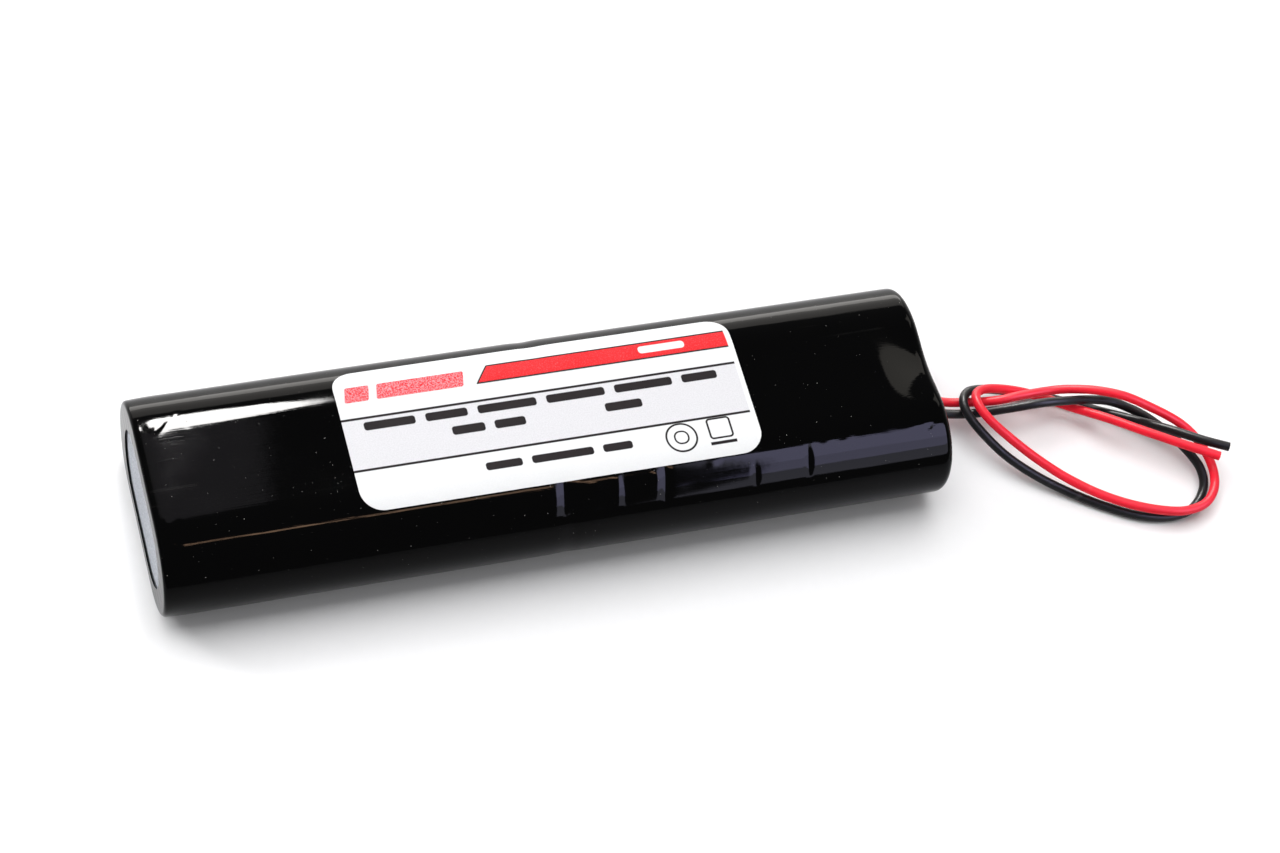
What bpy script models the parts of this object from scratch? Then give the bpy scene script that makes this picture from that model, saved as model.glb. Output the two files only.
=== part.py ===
"""A rechargeable battery pack: four round cells in two rows of two, held by a shrink sleeve.

The pack lies flat with its long side along X and its leads leaving at +X. The origin is on the
surface that it rests on, under the middle of the pack. All sizes are in metres.
"""

import math

import bmesh
import bpy
from mathutils import Matrix, Vector
from mathutils.geometry import interpolate_bezier

# Clearances: GAP between pieces that rest on each other, SLIP between a tube and what it wraps.
GAP = 0.0002
SLIP = 0.0001

# One cell, a steel can in a thin jacket. Its length runs from the jacket's bottom to the cap's top,
# and the setbacks are measured down from there.
CELL_LENGTH = 0.0648
CAN_RADIUS = 0.0090
CAN_WALL = 0.0003
JACKET_WALL = 0.0001
JACKET_LIP = 0.0018
CRIMP_SETBACK = 0.0009
CRIMP_LIP = 0.0021
GROOVE_SETBACK = 0.0044
GROOVE_DEPTH = 0.0008
GASKET_WALL = 0.0003
CAP_SHEET = 0.0003
CAP_BUTTON_RADIUS = 0.0042
VENT_DISC_SETBACK = 0.0027
WASHER_THICKNESS = 0.0002
WASHER_HOLE_RADIUS = 0.0052
WINDING_HOLE_RADIUS = 0.0016
WINDING_END_CLEARANCE = 0.0005
CENTRE_PIN_RADIUS = 0.0013
CENTRE_PIN_WALL = 0.0003

# How the four cells lie, and what is stacked on their ends.
ROW_GAP = 0.0002
FOLD_GAP = 0.0002
STRIP_THICKNESS = 0.00015
STRIP_WIDTH = 0.0080
STRIP_REACH = 0.0040
CARD_THICKNESS = 0.0004

# The shrink sleeve. Its ends fold over the end cards and leave an oval opening.
SLEEVE_WALL = 0.0002
LEFT_CORNER = 0.0006
RIGHT_CORNER = 0.0013
LEFT_RIM_AT_ROUND = 0.0050
LEFT_RIM_AT_FLAT = 0.0034
RIGHT_RIM_AT_ROUND = 0.0050

# The sticker, wrapped over the top and down both shoulders.
LABEL_LENGTH = 0.0675
LABEL_WIDTH = 0.0263
LABEL_THICKNESS = 0.0001
LABEL_CORNER = 0.0038
LABEL_SHIFT = 0.00125

# The cards that bridge the valleys between the rows, clear of the cells on either side.
VALLEY_CLEARANCE = 0.0004
VALLEY_CARD_THICKNESS = 0.0003
VALLEY_CARD_SETBACK = 0.0050
TOP_VALLEY_CARD_SETBACK = 0.0120

# The protection board, lying in the lower valley.
BOARD_LENGTH = 0.0480
BOARD_THICKNESS = 0.0008
BOARD_SETBACK = 0.0045

# What stands on the board: length, height, margin to the cells on either side, and how far its
# middle lies from the board's right end.
COMPONENT_CLEARANCE = 0.00015
COMPONENTS = (
    ("mosfet_1", 0.0049, 0.0014, 0.0007, 0.0150, "component_plastic"),
    ("mosfet_2", 0.0049, 0.0014, 0.0007, 0.0215, "component_plastic"),
    ("current_sense_resistor", 0.0063, 0.0006, 0.0018, 0.0285, "resistor_alloy"),
    ("control_chip", 0.0044, 0.0010, 0.0012, 0.0355, "component_plastic"),
)

# The end tabs reach down from the cell ends, beside the leads, and onto the board.
TAB_ON_BOARD = 0.0021

# The tap wires run this far above the board's level, and each end bends over its own length.
TAP_WIRE_DIAMETER = 0.0010
TAP_WIRE_SPACING = 0.0003
TAP_WIRE_RISE = 0.0002
TAP_WIRE_LEFT_BEND = 0.0080
TAP_WIRE_BOARD_BEND = 0.0060
TAP_WIRE_ON_BOARD = 0.0020

# The leads lie side by side and leave through a slot in the right end card.
LEAD_DIAMETER = 0.0016
LEAD_SPACING = 0.0006
LEAD_SLOT_CLEARANCE = 0.0004
LEAD_JOINT_GAP = 0.0003
LEAD_ON_BOARD = 0.0080
LEAD_STRAIGHT = 0.0030

# Facets: around a cell part, around a thin pin, along one round side, along one folded corner and
# along one corner of the sticker. A wire has a point every few diameters.
CELL_SIDES = 24
PIN_SIDES = 12
ARC_STEPS = 24
CORNER_STEPS = 3
LABEL_CORNER_STEPS = 5
WIRE_BEND_STEPS = 4
WIRE_POINT_SPACING = 2.5

# Sizes that follow from the ones above.
CRIMP_HEIGHT = CELL_LENGTH - CRIMP_SETBACK
GROOVE_HEIGHT = CELL_LENGTH - GROOVE_SETBACK
VENT_DISC_HEIGHT = CELL_LENGTH - VENT_DISC_SETBACK
CAN_INNER_RADIUS = CAN_RADIUS - CAN_WALL
GASKET_RADIUS = CAN_INNER_RADIUS - GAP
CAP_RIM_RADIUS = GASKET_RADIUS - GASKET_WALL - GAP
JACKET_INNER_RADIUS = CAN_RADIUS + SLIP
CELL_RADIUS = JACKET_INNER_RADIUS + JACKET_WALL
ROW_OFFSET = CELL_RADIUS + ROW_GAP / 2
SLEEVE_INNER_RADIUS = CELL_RADIUS + SLIP
PACK_RADIUS = SLEEVE_INNER_RADIUS + SLEEVE_WALL
AXIS_HEIGHT = PACK_RADIUS
CELL_END_NEAR = GAP + STRIP_THICKNESS + FOLD_GAP / 2
CELL_END_FAR = CELL_END_NEAR + CELL_LENGTH
STRIP_PLANE = CELL_END_FAR + GAP
CARD_PLANE = STRIP_PLANE + STRIP_THICKNESS + GAP
HALF_LENGTH = CARD_PLANE + CARD_THICKNESS + GAP + SLEEVE_WALL
BOARD_BOTTOM = SLEEVE_WALL + SLIP + VALLEY_CARD_THICKNESS + GAP
BOARD_TOP = BOARD_BOTTOM + BOARD_THICKNESS
BOARD_RIGHT = HALF_LENGTH - BOARD_SETBACK
BOARD_LEFT = BOARD_RIGHT - BOARD_LENGTH
STRIP_LOW = AXIS_HEIGHT - STRIP_WIDTH / 2
STRIP_HIGH = AXIS_HEIGHT + STRIP_WIDTH / 2
STRIP_END = ROW_OFFSET + STRIP_REACH
LEAD_PITCH = LEAD_DIAMETER + LEAD_SPACING

# The two middle tap wires start side by side, and end on either side of the left one.
TAP_WIRE_PITCH = TAP_WIRE_DIAMETER + TAP_WIRE_SPACING
MIDDLE_TAP_START = TAP_WIRE_PITCH / 2
MIDDLE_TAP_END = TAP_WIRE_PITCH

# The leads leave at the height where they just clear the cells, above the right end's lower rim.
LEAD_TO_CELL = CELL_RADIUS + SLIP + LEAD_DIAMETER / 2
LEAD_HEIGHT = AXIS_HEIGHT - math.sqrt(LEAD_TO_CELL**2 - (ROW_OFFSET - LEAD_PITCH / 2) ** 2)
LEAD_SLOT_RISE = LEAD_DIAMETER / 2 + LEAD_SLOT_CLEARANCE
RIGHT_RIM_AT_FLAT = LEAD_HEIGHT - LEAD_SLOT_RISE

# Routes of the two free leads, from the right end card to their cut ends.
RED_ROUTE = (
    (0.0700, 0.0007, 0.0035),
    (0.0736, -0.0004, 0.0033),
    (0.0760, -0.0010, 0.0036),
    (0.0787, -0.0017, 0.0042),
    (0.0819, -0.0025, 0.0052),
    (0.0856, -0.0025, 0.0056),
    (0.0914, -0.0023, 0.0054),
    (0.0946, -0.0028, 0.0059),
    (0.0992, -0.0044, 0.0069),
    (0.1036, -0.0065, 0.0073),
    (0.1077, -0.0087, 0.0064),
    (0.1127, -0.0113, 0.0044),
    (0.1151, -0.0137, 0.0035),
    (0.1165, -0.0169, 0.0030),
    (0.1168, -0.0211, 0.0029),
    (0.1158, -0.0245, 0.0029),
    (0.1138, -0.0268, 0.0029),
    (0.1114, -0.0278, 0.0029),
    (0.1075, -0.0279, 0.0030),
    (0.1013, -0.0259, 0.0030),
    (0.0954, -0.0227, 0.0031),
    (0.0901, -0.0187, 0.0035),
    (0.0852, -0.0142, 0.0045),
    (0.0806, -0.0098, 0.0064),
    (0.0781, -0.0068, 0.0075),
    (0.0771, -0.0041, 0.0077),
    (0.0773, -0.0022, 0.0074),
    (0.0786, -0.0009, 0.0067),
    (0.0818, -0.0001, 0.0052),
    (0.0867, -0.0004, 0.0035),
    (0.0907, -0.0019, 0.0029),
    (0.0955, -0.0051, 0.0033),
    (0.1007, -0.0092, 0.0048),
    (0.1057, -0.0134, 0.0061),
    (0.1111, -0.0171, 0.0066),
    (0.1170, -0.0206, 0.0066),
)
BLACK_ROUTE = (
    (0.0696, -0.0016, 0.0035),
    (0.0729, -0.0026, 0.0033),
    (0.0771, -0.0036, 0.0039),
    (0.0830, -0.0048, 0.0060),
    (0.0883, -0.0053, 0.0071),
    (0.0926, -0.0053, 0.0066),
    (0.0983, -0.0048, 0.0046),
    (0.1024, -0.0049, 0.0032),
    (0.1051, -0.0060, 0.0027),
    (0.1085, -0.0090, 0.0028),
    (0.1124, -0.0142, 0.0026),
    (0.1148, -0.0190, 0.0021),
    (0.1151, -0.0217, 0.0017),
    (0.1144, -0.0239, 0.0013),
    (0.1124, -0.0262, 0.0011),
    (0.1101, -0.0274, 0.0010),
    (0.1063, -0.0277, 0.0009),
    (0.1013, -0.0265, 0.0009),
    (0.0958, -0.0236, 0.0009),
    (0.0904, -0.0201, 0.0012),
    (0.0853, -0.0165, 0.0021),
    (0.0806, -0.0123, 0.0034),
    (0.0772, -0.0079, 0.0049),
    (0.0755, -0.0046, 0.0058),
    (0.0753, -0.0026, 0.0060),
    (0.0760, -0.0010, 0.0058),
    (0.0776, 0.0002, 0.0051),
    (0.0813, 0.0011, 0.0031),
    (0.0853, 0.0010, 0.0017),
    (0.0906, -0.0004, 0.0011),
    (0.0964, -0.0029, 0.0009),
    (0.1017, -0.0059, 0.0013),
    (0.1063, -0.0095, 0.0031),
    (0.1109, -0.0134, 0.0051),
    (0.1155, -0.0170, 0.0063),
    (0.1194, -0.0191, 0.0065),
)

COLOURS = {
    "black_film": ((0.012, 0.012, 0.014), 0.16, 0.0),
    "label_paper": ((0.86, 0.87, 0.88), 0.38, 0.0),
    "grey_card": ((0.42, 0.46, 0.52), 0.85, 0.0),
    "steel": ((0.62, 0.62, 0.63), 0.30, 1.0),
    "nickel": ((0.70, 0.68, 0.64), 0.32, 1.0),
    "cell_jacket": ((0.10, 0.36, 0.22), 0.30, 0.0),
    "gasket_plastic": ((0.06, 0.06, 0.07), 0.50, 0.0),
    "white_washer": ((0.80, 0.80, 0.77), 0.80, 0.0),
    "winding": ((0.09, 0.09, 0.10), 0.55, 0.0),
    "circuit_board": ((0.02, 0.18, 0.07), 0.40, 0.0),
    "component_plastic": ((0.025, 0.025, 0.028), 0.45, 0.0),
    "resistor_alloy": ((0.36, 0.33, 0.30), 0.40, 1.0),
    "red_insulation": ((0.72, 0.015, 0.02), 0.32, 0.0),
    "black_insulation": ((0.015, 0.015, 0.016), 0.32, 0.0),
    "yellow_insulation": ((0.80, 0.55, 0.04), 0.35, 0.0),
}


def clear_scene():
    for thing in list(bpy.data.objects):
        bpy.data.objects.remove(thing, do_unlink=True)


def material(name):
    """The material called name, made the first time that it is asked for."""
    found = bpy.data.materials.get(name)
    if found:
        return found
    colour, roughness, metallic = COLOURS[name]
    made = bpy.data.materials.new(name)
    made.use_nodes = True
    shader = made.node_tree.nodes["Principled BSDF"]
    shader.inputs["Base Color"].default_value = (*colour, 1.0)
    shader.inputs["Roughness"].default_value = roughness
    shader.inputs["Metallic"].default_value = metallic
    made.diffuse_color = (*colour, 1.0)
    return made


def own_material(piece, base):
    """Gives the piece a material of its own, with the look called base."""
    made = material(base).copy()
    made.name = piece.name
    piece.data.materials.append(made)


def add_mesh(name, bm, look, smooth=False):
    """Turns the bmesh into an object with outward faces."""
    bmesh.ops.recalc_face_normals(bm, faces=bm.faces)
    mesh = bpy.data.meshes.new(name)
    bm.to_mesh(mesh)
    bm.free()
    piece = bpy.data.objects.new(name, mesh)
    bpy.context.scene.collection.objects.link(piece)
    own_material(piece, look)
    if smooth:
        mesh.shade_smooth()
        mesh.set_sharp_from_angle(angle=math.radians(35))
    return piece


def turned(name, profile, look, ring, sides):
    """Turns a profile of (radius, height) points about Z. A ring's profile closes on itself."""
    bm = bmesh.new()
    points = [bm.verts.new((radius, 0.0, height)) for radius, height in profile]
    edges = [bm.edges.new(pair) for pair in zip(points, points[1:])]
    if ring:
        edges.append(bm.edges.new((points[-1], points[0])))
    bmesh.ops.spin(
        bm,
        geom=points + edges,
        cent=(0, 0, 0),
        axis=(0, 0, 1),
        angle=math.tau,
        steps=sides,
        use_merge=True,
    )
    bmesh.ops.remove_doubles(bm, verts=bm.verts, dist=1e-6)
    return add_mesh(name, bm, look, smooth=True)


def box(name, low, high, look):
    """A plain block between two opposite corners."""
    bm = bmesh.new()
    size = Vector(high) - Vector(low)
    middle = (Vector(high) + Vector(low)) / 2
    bmesh.ops.create_cube(bm, size=1.0, matrix=Matrix.LocRotScale(middle, None, size))
    return add_mesh(name, bm, look)


def extruded(name, outline, depth, look):
    """Extrudes a flat outline of points by the depth vector."""
    bm = bmesh.new()
    face = bm.faces.new([bm.verts.new(point) for point in outline])
    grown = bmesh.ops.extrude_face_region(bm, geom=[face])
    moved = [part for part in grown["geom"] if isinstance(part, bmesh.types.BMVert)]
    bmesh.ops.translate(bm, verts=moved, vec=depth)
    return add_mesh(name, bm, look)


def combine(piece, other, operation):
    """Adds or cuts with a helper that stays in the file as a hidden wire shape."""
    other.hide_render = True
    other.display_type = "WIRE"
    step = piece.modifiers.new(other.name, "BOOLEAN")
    step.object = other
    step.operation = operation
    step.solver = "EXACT"


def stadium(radius, x, side_scale=1.0, height_scale=1.0):
    """Points round the pack's section: two half circles about the two rows, at the given x."""
    ring = []
    for side in (1, -1):
        for step in range(ARC_STEPS + 1):
            angle = side * math.pi / 2 * (2 * step / ARC_STEPS - 1)
            across = side * (ROW_OFFSET + radius * math.cos(angle))
            ring.append((x, across * side_scale, AXIS_HEIGHT + radius * math.sin(angle) * height_scale))
    return ring


def opening(x, rim_at_round, rim_at_flat):
    """The oval opening that a folded sleeve end leaves."""
    half_width = ROW_OFFSET + PACK_RADIUS
    side_scale = (half_width - rim_at_round) / half_width
    height_scale = (PACK_RADIUS - rim_at_flat) / PACK_RADIUS
    return stadium(PACK_RADIUS, x, side_scale, height_scale)


def folded_end(side, radius, corner, reach):
    """Rings round a sleeve end, from the flat of the end to the straight side."""
    rings = []
    for step in range(CORNER_STEPS + 1):
        turn = math.pi / 2 * step / CORNER_STEPS
        inset = corner * (1 - math.sin(turn))
        rings.append(stadium(radius - inset, side * (reach - corner * (1 - math.cos(turn)))))
    return rings


def make_sleeve():
    """The black film: an outer skin and an inner skin, joined at the two openings."""
    inner_reach = HALF_LENGTH - SLEEVE_WALL
    rings = [opening(-HALF_LENGTH, LEFT_RIM_AT_ROUND, LEFT_RIM_AT_FLAT)]
    rings += folded_end(-1, PACK_RADIUS, LEFT_CORNER, HALF_LENGTH)
    rings += reversed(folded_end(1, PACK_RADIUS, RIGHT_CORNER, HALF_LENGTH))
    rings.append(opening(HALF_LENGTH, RIGHT_RIM_AT_ROUND, RIGHT_RIM_AT_FLAT))
    rings.append(opening(inner_reach, RIGHT_RIM_AT_ROUND, RIGHT_RIM_AT_FLAT))
    rings += folded_end(1, SLEEVE_INNER_RADIUS, RIGHT_CORNER - SLEEVE_WALL, inner_reach)
    rings += reversed(folded_end(-1, SLEEVE_INNER_RADIUS, LEFT_CORNER - SLEEVE_WALL, inner_reach))
    rings.append(opening(-inner_reach, LEFT_RIM_AT_ROUND, LEFT_RIM_AT_FLAT))
    bm = bmesh.new()
    loops = [[bm.verts.new(point) for point in ring] for ring in rings]
    for here, there in zip(loops, loops[1:] + loops[:1]):
        for a, b, c, d in zip(here, here[1:] + here[:1], there[1:] + there[:1], there):
            bm.faces.new((a, b, c, d))
    add_mesh("shrink_sleeve", bm, "black_film", smooth=True)


def card_radius(corner):
    """The largest end card radius that clears the sleeve's rounded inner corner."""
    inner_corner = corner - SLEEVE_WALL
    clear = inner_corner - SLIP
    rise = inner_corner - GAP
    side = math.sqrt(max(clear * clear - rise * rise, 0.0))
    return SLEEVE_INNER_RADIUS - inner_corner + side


def make_end_cards():
    """The stiff cards over both cell ends. The right one has a slot for the leads."""
    depth = (CARD_THICKNESS, 0, 0)
    left_outline = stadium(card_radius(LEFT_CORNER), -CARD_PLANE - CARD_THICKNESS)
    extruded("left_end_card", left_outline, depth, "grey_card")
    right_outline = stadium(card_radius(RIGHT_CORNER), CARD_PLANE)
    card = extruded("right_end_card", right_outline, depth, "grey_card")
    slot_half = LEAD_PITCH / 2 + LEAD_SLOT_RISE
    cutter = box(
        "lead_slot_cutter",
        (CARD_PLANE - GAP, -slot_half, LEAD_HEIGHT - LEAD_SLOT_RISE),
        (CARD_PLANE + CARD_THICKNESS + GAP, slot_half, LEAD_HEIGHT + LEAD_SLOT_RISE),
        "grey_card",
    )
    combine(card, cutter, "DIFFERENCE")


def label_point(across, radius):
    """A point of the label's section, a distance across from the middle of the flat top."""
    side = math.copysign(1.0, across)
    past = max(abs(across) - ROW_OFFSET, 0.0) / (PACK_RADIUS + SLIP)
    flat = min(abs(across), ROW_OFFSET)
    return side * (flat + radius * math.sin(past)), AXIS_HEIGHT + radius * math.cos(past)


def make_label():
    """A sheet with rounded corners, laid over the flat top and bent down both shoulders."""
    low = LABEL_SHIFT - LABEL_WIDTH / 2
    high = LABEL_SHIFT + LABEL_WIDTH / 2
    inner_radius = PACK_RADIUS + SLIP
    facet = inner_radius * math.pi / ARC_STEPS
    stations = {low, high, -ROW_OFFSET, ROW_OFFSET}
    for side in (-1, 1):
        reach = ROW_OFFSET + facet
        while reach < max(high, -low):
            stations.add(side * reach)
            reach += facet
    for step in range(1, LABEL_CORNER_STEPS + 1):
        turn = math.pi / 2 * step / LABEL_CORNER_STEPS
        stations.add(low + LABEL_CORNER * (1 - math.cos(turn)))
        stations.add(high - LABEL_CORNER * (1 - math.cos(turn)))
    lines = sorted(place for place in stations if low <= place <= high)
    bm = bmesh.new()
    rows = []
    for across in lines:
        edge = LABEL_CORNER - min(across - low, high - across, LABEL_CORNER)
        reach = LABEL_LENGTH / 2 - LABEL_CORNER + math.sqrt(LABEL_CORNER**2 - edge**2)
        under = label_point(across, inner_radius)
        over = label_point(across, inner_radius + LABEL_THICKNESS)
        corners = ((-reach, *under), (reach, *under), (reach, *over), (-reach, *over))
        rows.append([bm.verts.new(corner) for corner in corners])
    for here, there in zip(rows, rows[1:]):
        for k in range(len(here)):
            bm.faces.new((here[k], here[k - 1], there[k - 1], there[k]))
    bm.faces.new(rows[0])
    bm.faces.new(reversed(rows[-1]))
    add_mesh("label", bm, "label_paper", smooth=True)


def valley_half_width(height):
    """Half of the room that the two rows of cells leave in the lower valley, up to a height."""
    drop = AXIS_HEIGHT - height
    return ROW_OFFSET - math.sqrt(CELL_RADIUS**2 - drop**2)


def make_valley_cards():
    """Thin cards that keep the film flat across both valleys."""
    left = -HALF_LENGTH + VALLEY_CARD_SETBACK
    low = SLEEVE_WALL + SLIP
    half = valley_half_width(low + VALLEY_CARD_THICKNESS) - VALLEY_CLEARANCE
    box(
        "lower_valley_card",
        (left, -half, low),
        (-left, half, low + VALLEY_CARD_THICKNESS),
        "grey_card",
    )
    high = 2 * AXIS_HEIGHT - low
    box(
        "upper_valley_card",
        (left, -half, high - VALLEY_CARD_THICKNESS),
        (HALF_LENGTH - TOP_VALLEY_CARD_SETBACK, half, high),
        "grey_card",
    )


def tube_profile(inner, outer, low, high):
    return ((inner, low), (outer, low), (outer, high), (inner, high))


def cell_parts():
    """Each part of a cell: its name, profile, look, whether it is a ring, and its facets."""
    can_bottom = JACKET_WALL + SLIP
    lip = CAN_RADIUS - CRIMP_LIP
    under_crimp = CRIMP_HEIGHT - CAN_WALL
    groove_slope = GROOVE_DEPTH + CAN_WALL / 2
    groove = CAN_RADIUS - GROOVE_DEPTH
    can = (
        (0, can_bottom),
        (CAN_INNER_RADIUS, can_bottom),
        (CAN_RADIUS, can_bottom + CAN_WALL),
        (CAN_RADIUS, GROOVE_HEIGHT - GROOVE_DEPTH),
        (groove, GROOVE_HEIGHT),
        (CAN_RADIUS, GROOVE_HEIGHT + GROOVE_DEPTH),
        (CAN_RADIUS, CRIMP_HEIGHT),
        (lip, CRIMP_HEIGHT),
        (lip, under_crimp),
        (CAN_INNER_RADIUS, under_crimp),
        (CAN_INNER_RADIUS, GROOVE_HEIGHT + groove_slope),
        (groove - CAN_WALL, GROOVE_HEIGHT),
        (CAN_INNER_RADIUS, GROOVE_HEIGHT - groove_slope),
        (CAN_INNER_RADIUS, can_bottom + CAN_WALL),
        (0, can_bottom + CAN_WALL),
    )
    washer_low = CRIMP_HEIGHT + GAP
    washer_high = washer_low + WASHER_THICKNESS
    jacket_top = washer_high + GAP + JACKET_WALL
    jacket_lip = CELL_RADIUS - JACKET_LIP
    jacket = (
        (jacket_lip, 0),
        (CELL_RADIUS, 0),
        (CELL_RADIUS, jacket_top),
        (jacket_lip, jacket_top),
        (jacket_lip, jacket_top - JACKET_WALL),
        (JACKET_INNER_RADIUS, jacket_top - JACKET_WALL),
        (JACKET_INNER_RADIUS, JACKET_WALL),
        (jacket_lip, JACKET_WALL),
    )
    gasket_low = VENT_DISC_HEIGHT - GAP - GASKET_WALL
    gasket_high = under_crimp - GAP
    gasket = (
        (GASKET_RADIUS, gasket_low),
        (GASKET_RADIUS, gasket_high),
        (lip, gasket_high),
        (lip, gasket_high - GASKET_WALL),
        (GASKET_RADIUS - GASKET_WALL, gasket_high - GASKET_WALL),
        (GASKET_RADIUS - GASKET_WALL, gasket_low + GASKET_WALL),
        (lip, gasket_low + GASKET_WALL),
        (lip, gasket_low),
    )
    rim_low = VENT_DISC_HEIGHT + CAP_SHEET + GAP
    rim_high = rim_low + CAP_SHEET
    button_inner = CAP_BUTTON_RADIUS - CAP_SHEET
    cap = (
        (0, CELL_LENGTH - CAP_SHEET),
        (button_inner, CELL_LENGTH - CAP_SHEET),
        (button_inner + CAP_SHEET, rim_low),
        (CAP_RIM_RADIUS, rim_low),
        (CAP_RIM_RADIUS, rim_high),
        (CAP_BUTTON_RADIUS + CAP_SHEET, rim_high),
        (CAP_BUTTON_RADIUS, CELL_LENGTH),
        (0, CELL_LENGTH),
    )
    vent_high = VENT_DISC_HEIGHT + CAP_SHEET
    vent_disc = (
        (0, VENT_DISC_HEIGHT),
        (CAP_RIM_RADIUS, VENT_DISC_HEIGHT),
        (CAP_RIM_RADIUS, vent_high),
        (0, vent_high),
    )
    washer_outer = JACKET_INNER_RADIUS - GAP
    winding_low = can_bottom + CAN_WALL + WINDING_END_CLEARANCE
    winding_high = GROOVE_HEIGHT - groove_slope - WINDING_END_CLEARANCE
    pin_bore = CENTRE_PIN_RADIUS - CENTRE_PIN_WALL
    return (
        ("can", can, "steel", False, CELL_SIDES),
        ("jacket", jacket, "cell_jacket", True, CELL_SIDES),
        ("gasket", gasket, "gasket_plastic", True, CELL_SIDES),
        ("positive_cap", cap, "nickel", False, CELL_SIDES),
        ("vent_disc", vent_disc, "steel", False, CELL_SIDES),
        (
            "washer",
            tube_profile(WASHER_HOLE_RADIUS, washer_outer, washer_low, washer_high),
            "white_washer",
            True,
            CELL_SIDES,
        ),
        (
            "winding",
            tube_profile(WINDING_HOLE_RADIUS, GASKET_RADIUS, winding_low, winding_high),
            "winding",
            True,
            CELL_SIDES,
        ),
        (
            "centre_pin",
            tube_profile(pin_bore, CENTRE_PIN_RADIUS, winding_low, winding_high),
            "steel",
            True,
            PIN_SIDES,
        ),
    )


def make_cells():
    """Four cells: the back row points its caps to -X and the front row to +X."""
    for name, end, row, cap_side in (
        ("back_left_cell", -1, 1, -1),
        ("back_right_cell", 1, 1, -1),
        ("front_left_cell", -1, -1, 1),
        ("front_right_cell", 1, -1, 1),
    ):
        middle = end * (CELL_END_NEAR + CELL_END_FAR) / 2
        start = middle - cap_side * CELL_LENGTH / 2
        for part, profile, look, ring, sides in cell_parts():
            piece = turned(f"{name}_{part}", profile, look, ring, sides)
            piece.location = (start, row * ROW_OFFSET, AXIS_HEIGHT)
            piece.rotation_euler = (0, cap_side * math.pi / 2, 0)


def wire_ceiling(across):
    """The height at which a tap wire, this far from the middle, just clears the cells beside it."""
    reach = CELL_RADIUS + TAP_WIRE_DIAMETER / 2 + GAP
    return AXIS_HEIGHT - math.sqrt(reach**2 - (ROW_OFFSET - across) ** 2)


def make_links():
    """The nickel strips that join the cells in series."""
    box(
        "left_cell_link",
        (-STRIP_PLANE - STRIP_THICKNESS, -STRIP_END, STRIP_LOW),
        (-STRIP_PLANE, STRIP_END, STRIP_HIGH),
        "nickel",
    )
    outer = FOLD_GAP / 2 + STRIP_THICKNESS
    inner = FOLD_GAP / 2
    bend = ROW_GAP / 2 + TAP_WIRE_DIAMETER
    low = wire_ceiling(MIDDLE_TAP_START) + TAP_WIRE_DIAMETER / 2 + GAP
    for name, row in (("back_middle_link", 1), ("front_middle_link", -1)):
        outline = (
            (-outer, row * bend, low),
            (outer, row * bend, low),
            (outer, row * STRIP_END, low),
            (inner, row * STRIP_END, low),
            (inner, row * (bend + STRIP_THICKNESS), low),
            (-inner, row * (bend + STRIP_THICKNESS), low),
            (-inner, row * STRIP_END, low),
            (-outer, row * STRIP_END, low),
        )
        extruded(name, outline, (0, 0, STRIP_HIGH - low), "nickel")


def make_end_tabs():
    """The two end tabs: a plate on the cell end, a leg down past it and a foot on the board."""
    front = STRIP_PLANE + STRIP_THICKNESS
    leg_top = STRIP_HIGH - STRIP_THICKNESS
    foot_low = BOARD_TOP + GAP
    foot_high = foot_low + STRIP_THICKNESS
    foot_end = BOARD_RIGHT - TAB_ON_BOARD
    leg_inner = LEAD_PITCH / 2 + LEAD_DIAMETER / 2 + GAP
    leg_outer = valley_half_width(foot_high) - VALLEY_CLEARANCE
    for name, row in (("negative_end_tab", 1), ("positive_end_tab", -1)):
        outline = (
            (foot_end, row * leg_inner, foot_low),
            (front, row * leg_inner, foot_low),
            (front, row * leg_inner, leg_top),
            (STRIP_PLANE, row * leg_inner, leg_top),
            (STRIP_PLANE, row * leg_inner, foot_high),
            (foot_end, row * leg_inner, foot_high),
        )
        tab = extruded(name, outline, (0, row * (leg_outer - leg_inner), 0), "nickel")
        edges = sorted((row * (leg_inner + leg_outer) / 2, row * STRIP_END))
        plate = box(
            f"{name}_plate",
            (STRIP_PLANE, edges[0], STRIP_LOW),
            (front, edges[1], STRIP_HIGH),
            "nickel",
        )
        combine(tab, plate, "UNION")


def make_board():
    """The protection board and the components that stand on it."""
    half = valley_half_width(BOARD_TOP) - VALLEY_CLEARANCE
    box(
        "protection_board",
        (BOARD_LEFT, -half, BOARD_BOTTOM),
        (BOARD_RIGHT, half, BOARD_TOP),
        "circuit_board",
    )
    base = BOARD_TOP + COMPONENT_CLEARANCE
    for name, length, height, margin, setback, look in COMPONENTS:
        middle = BOARD_RIGHT - setback
        half = valley_half_width(base + height) - margin
        box(
            name,
            (middle - length / 2, -half, base),
            (middle + length / 2, half, base + height),
            look,
        )


def smooth_route(route, spacing):
    """Points along a smooth curve through the route, no further apart than the spacing."""
    stops = [Vector(stop) for stop in route]
    points = [stops[0]]
    for k, (here, there) in enumerate(zip(stops, stops[1:])):
        before = stops[k - 1] if k else here - (there - here)
        after = stops[k + 2] if k + 2 < len(stops) else there + (there - here)
        run = (there - here).length
        out = (there - before) * (run / ((there - here).length + (here - before).length) / 3)
        back = (after - here) * (run / ((there - here).length + (after - there).length) / 3)
        steps = max(1, round(run / spacing))
        points += interpolate_bezier(here, here + out, there - back, there, steps + 1)[1:]
    return points


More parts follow.
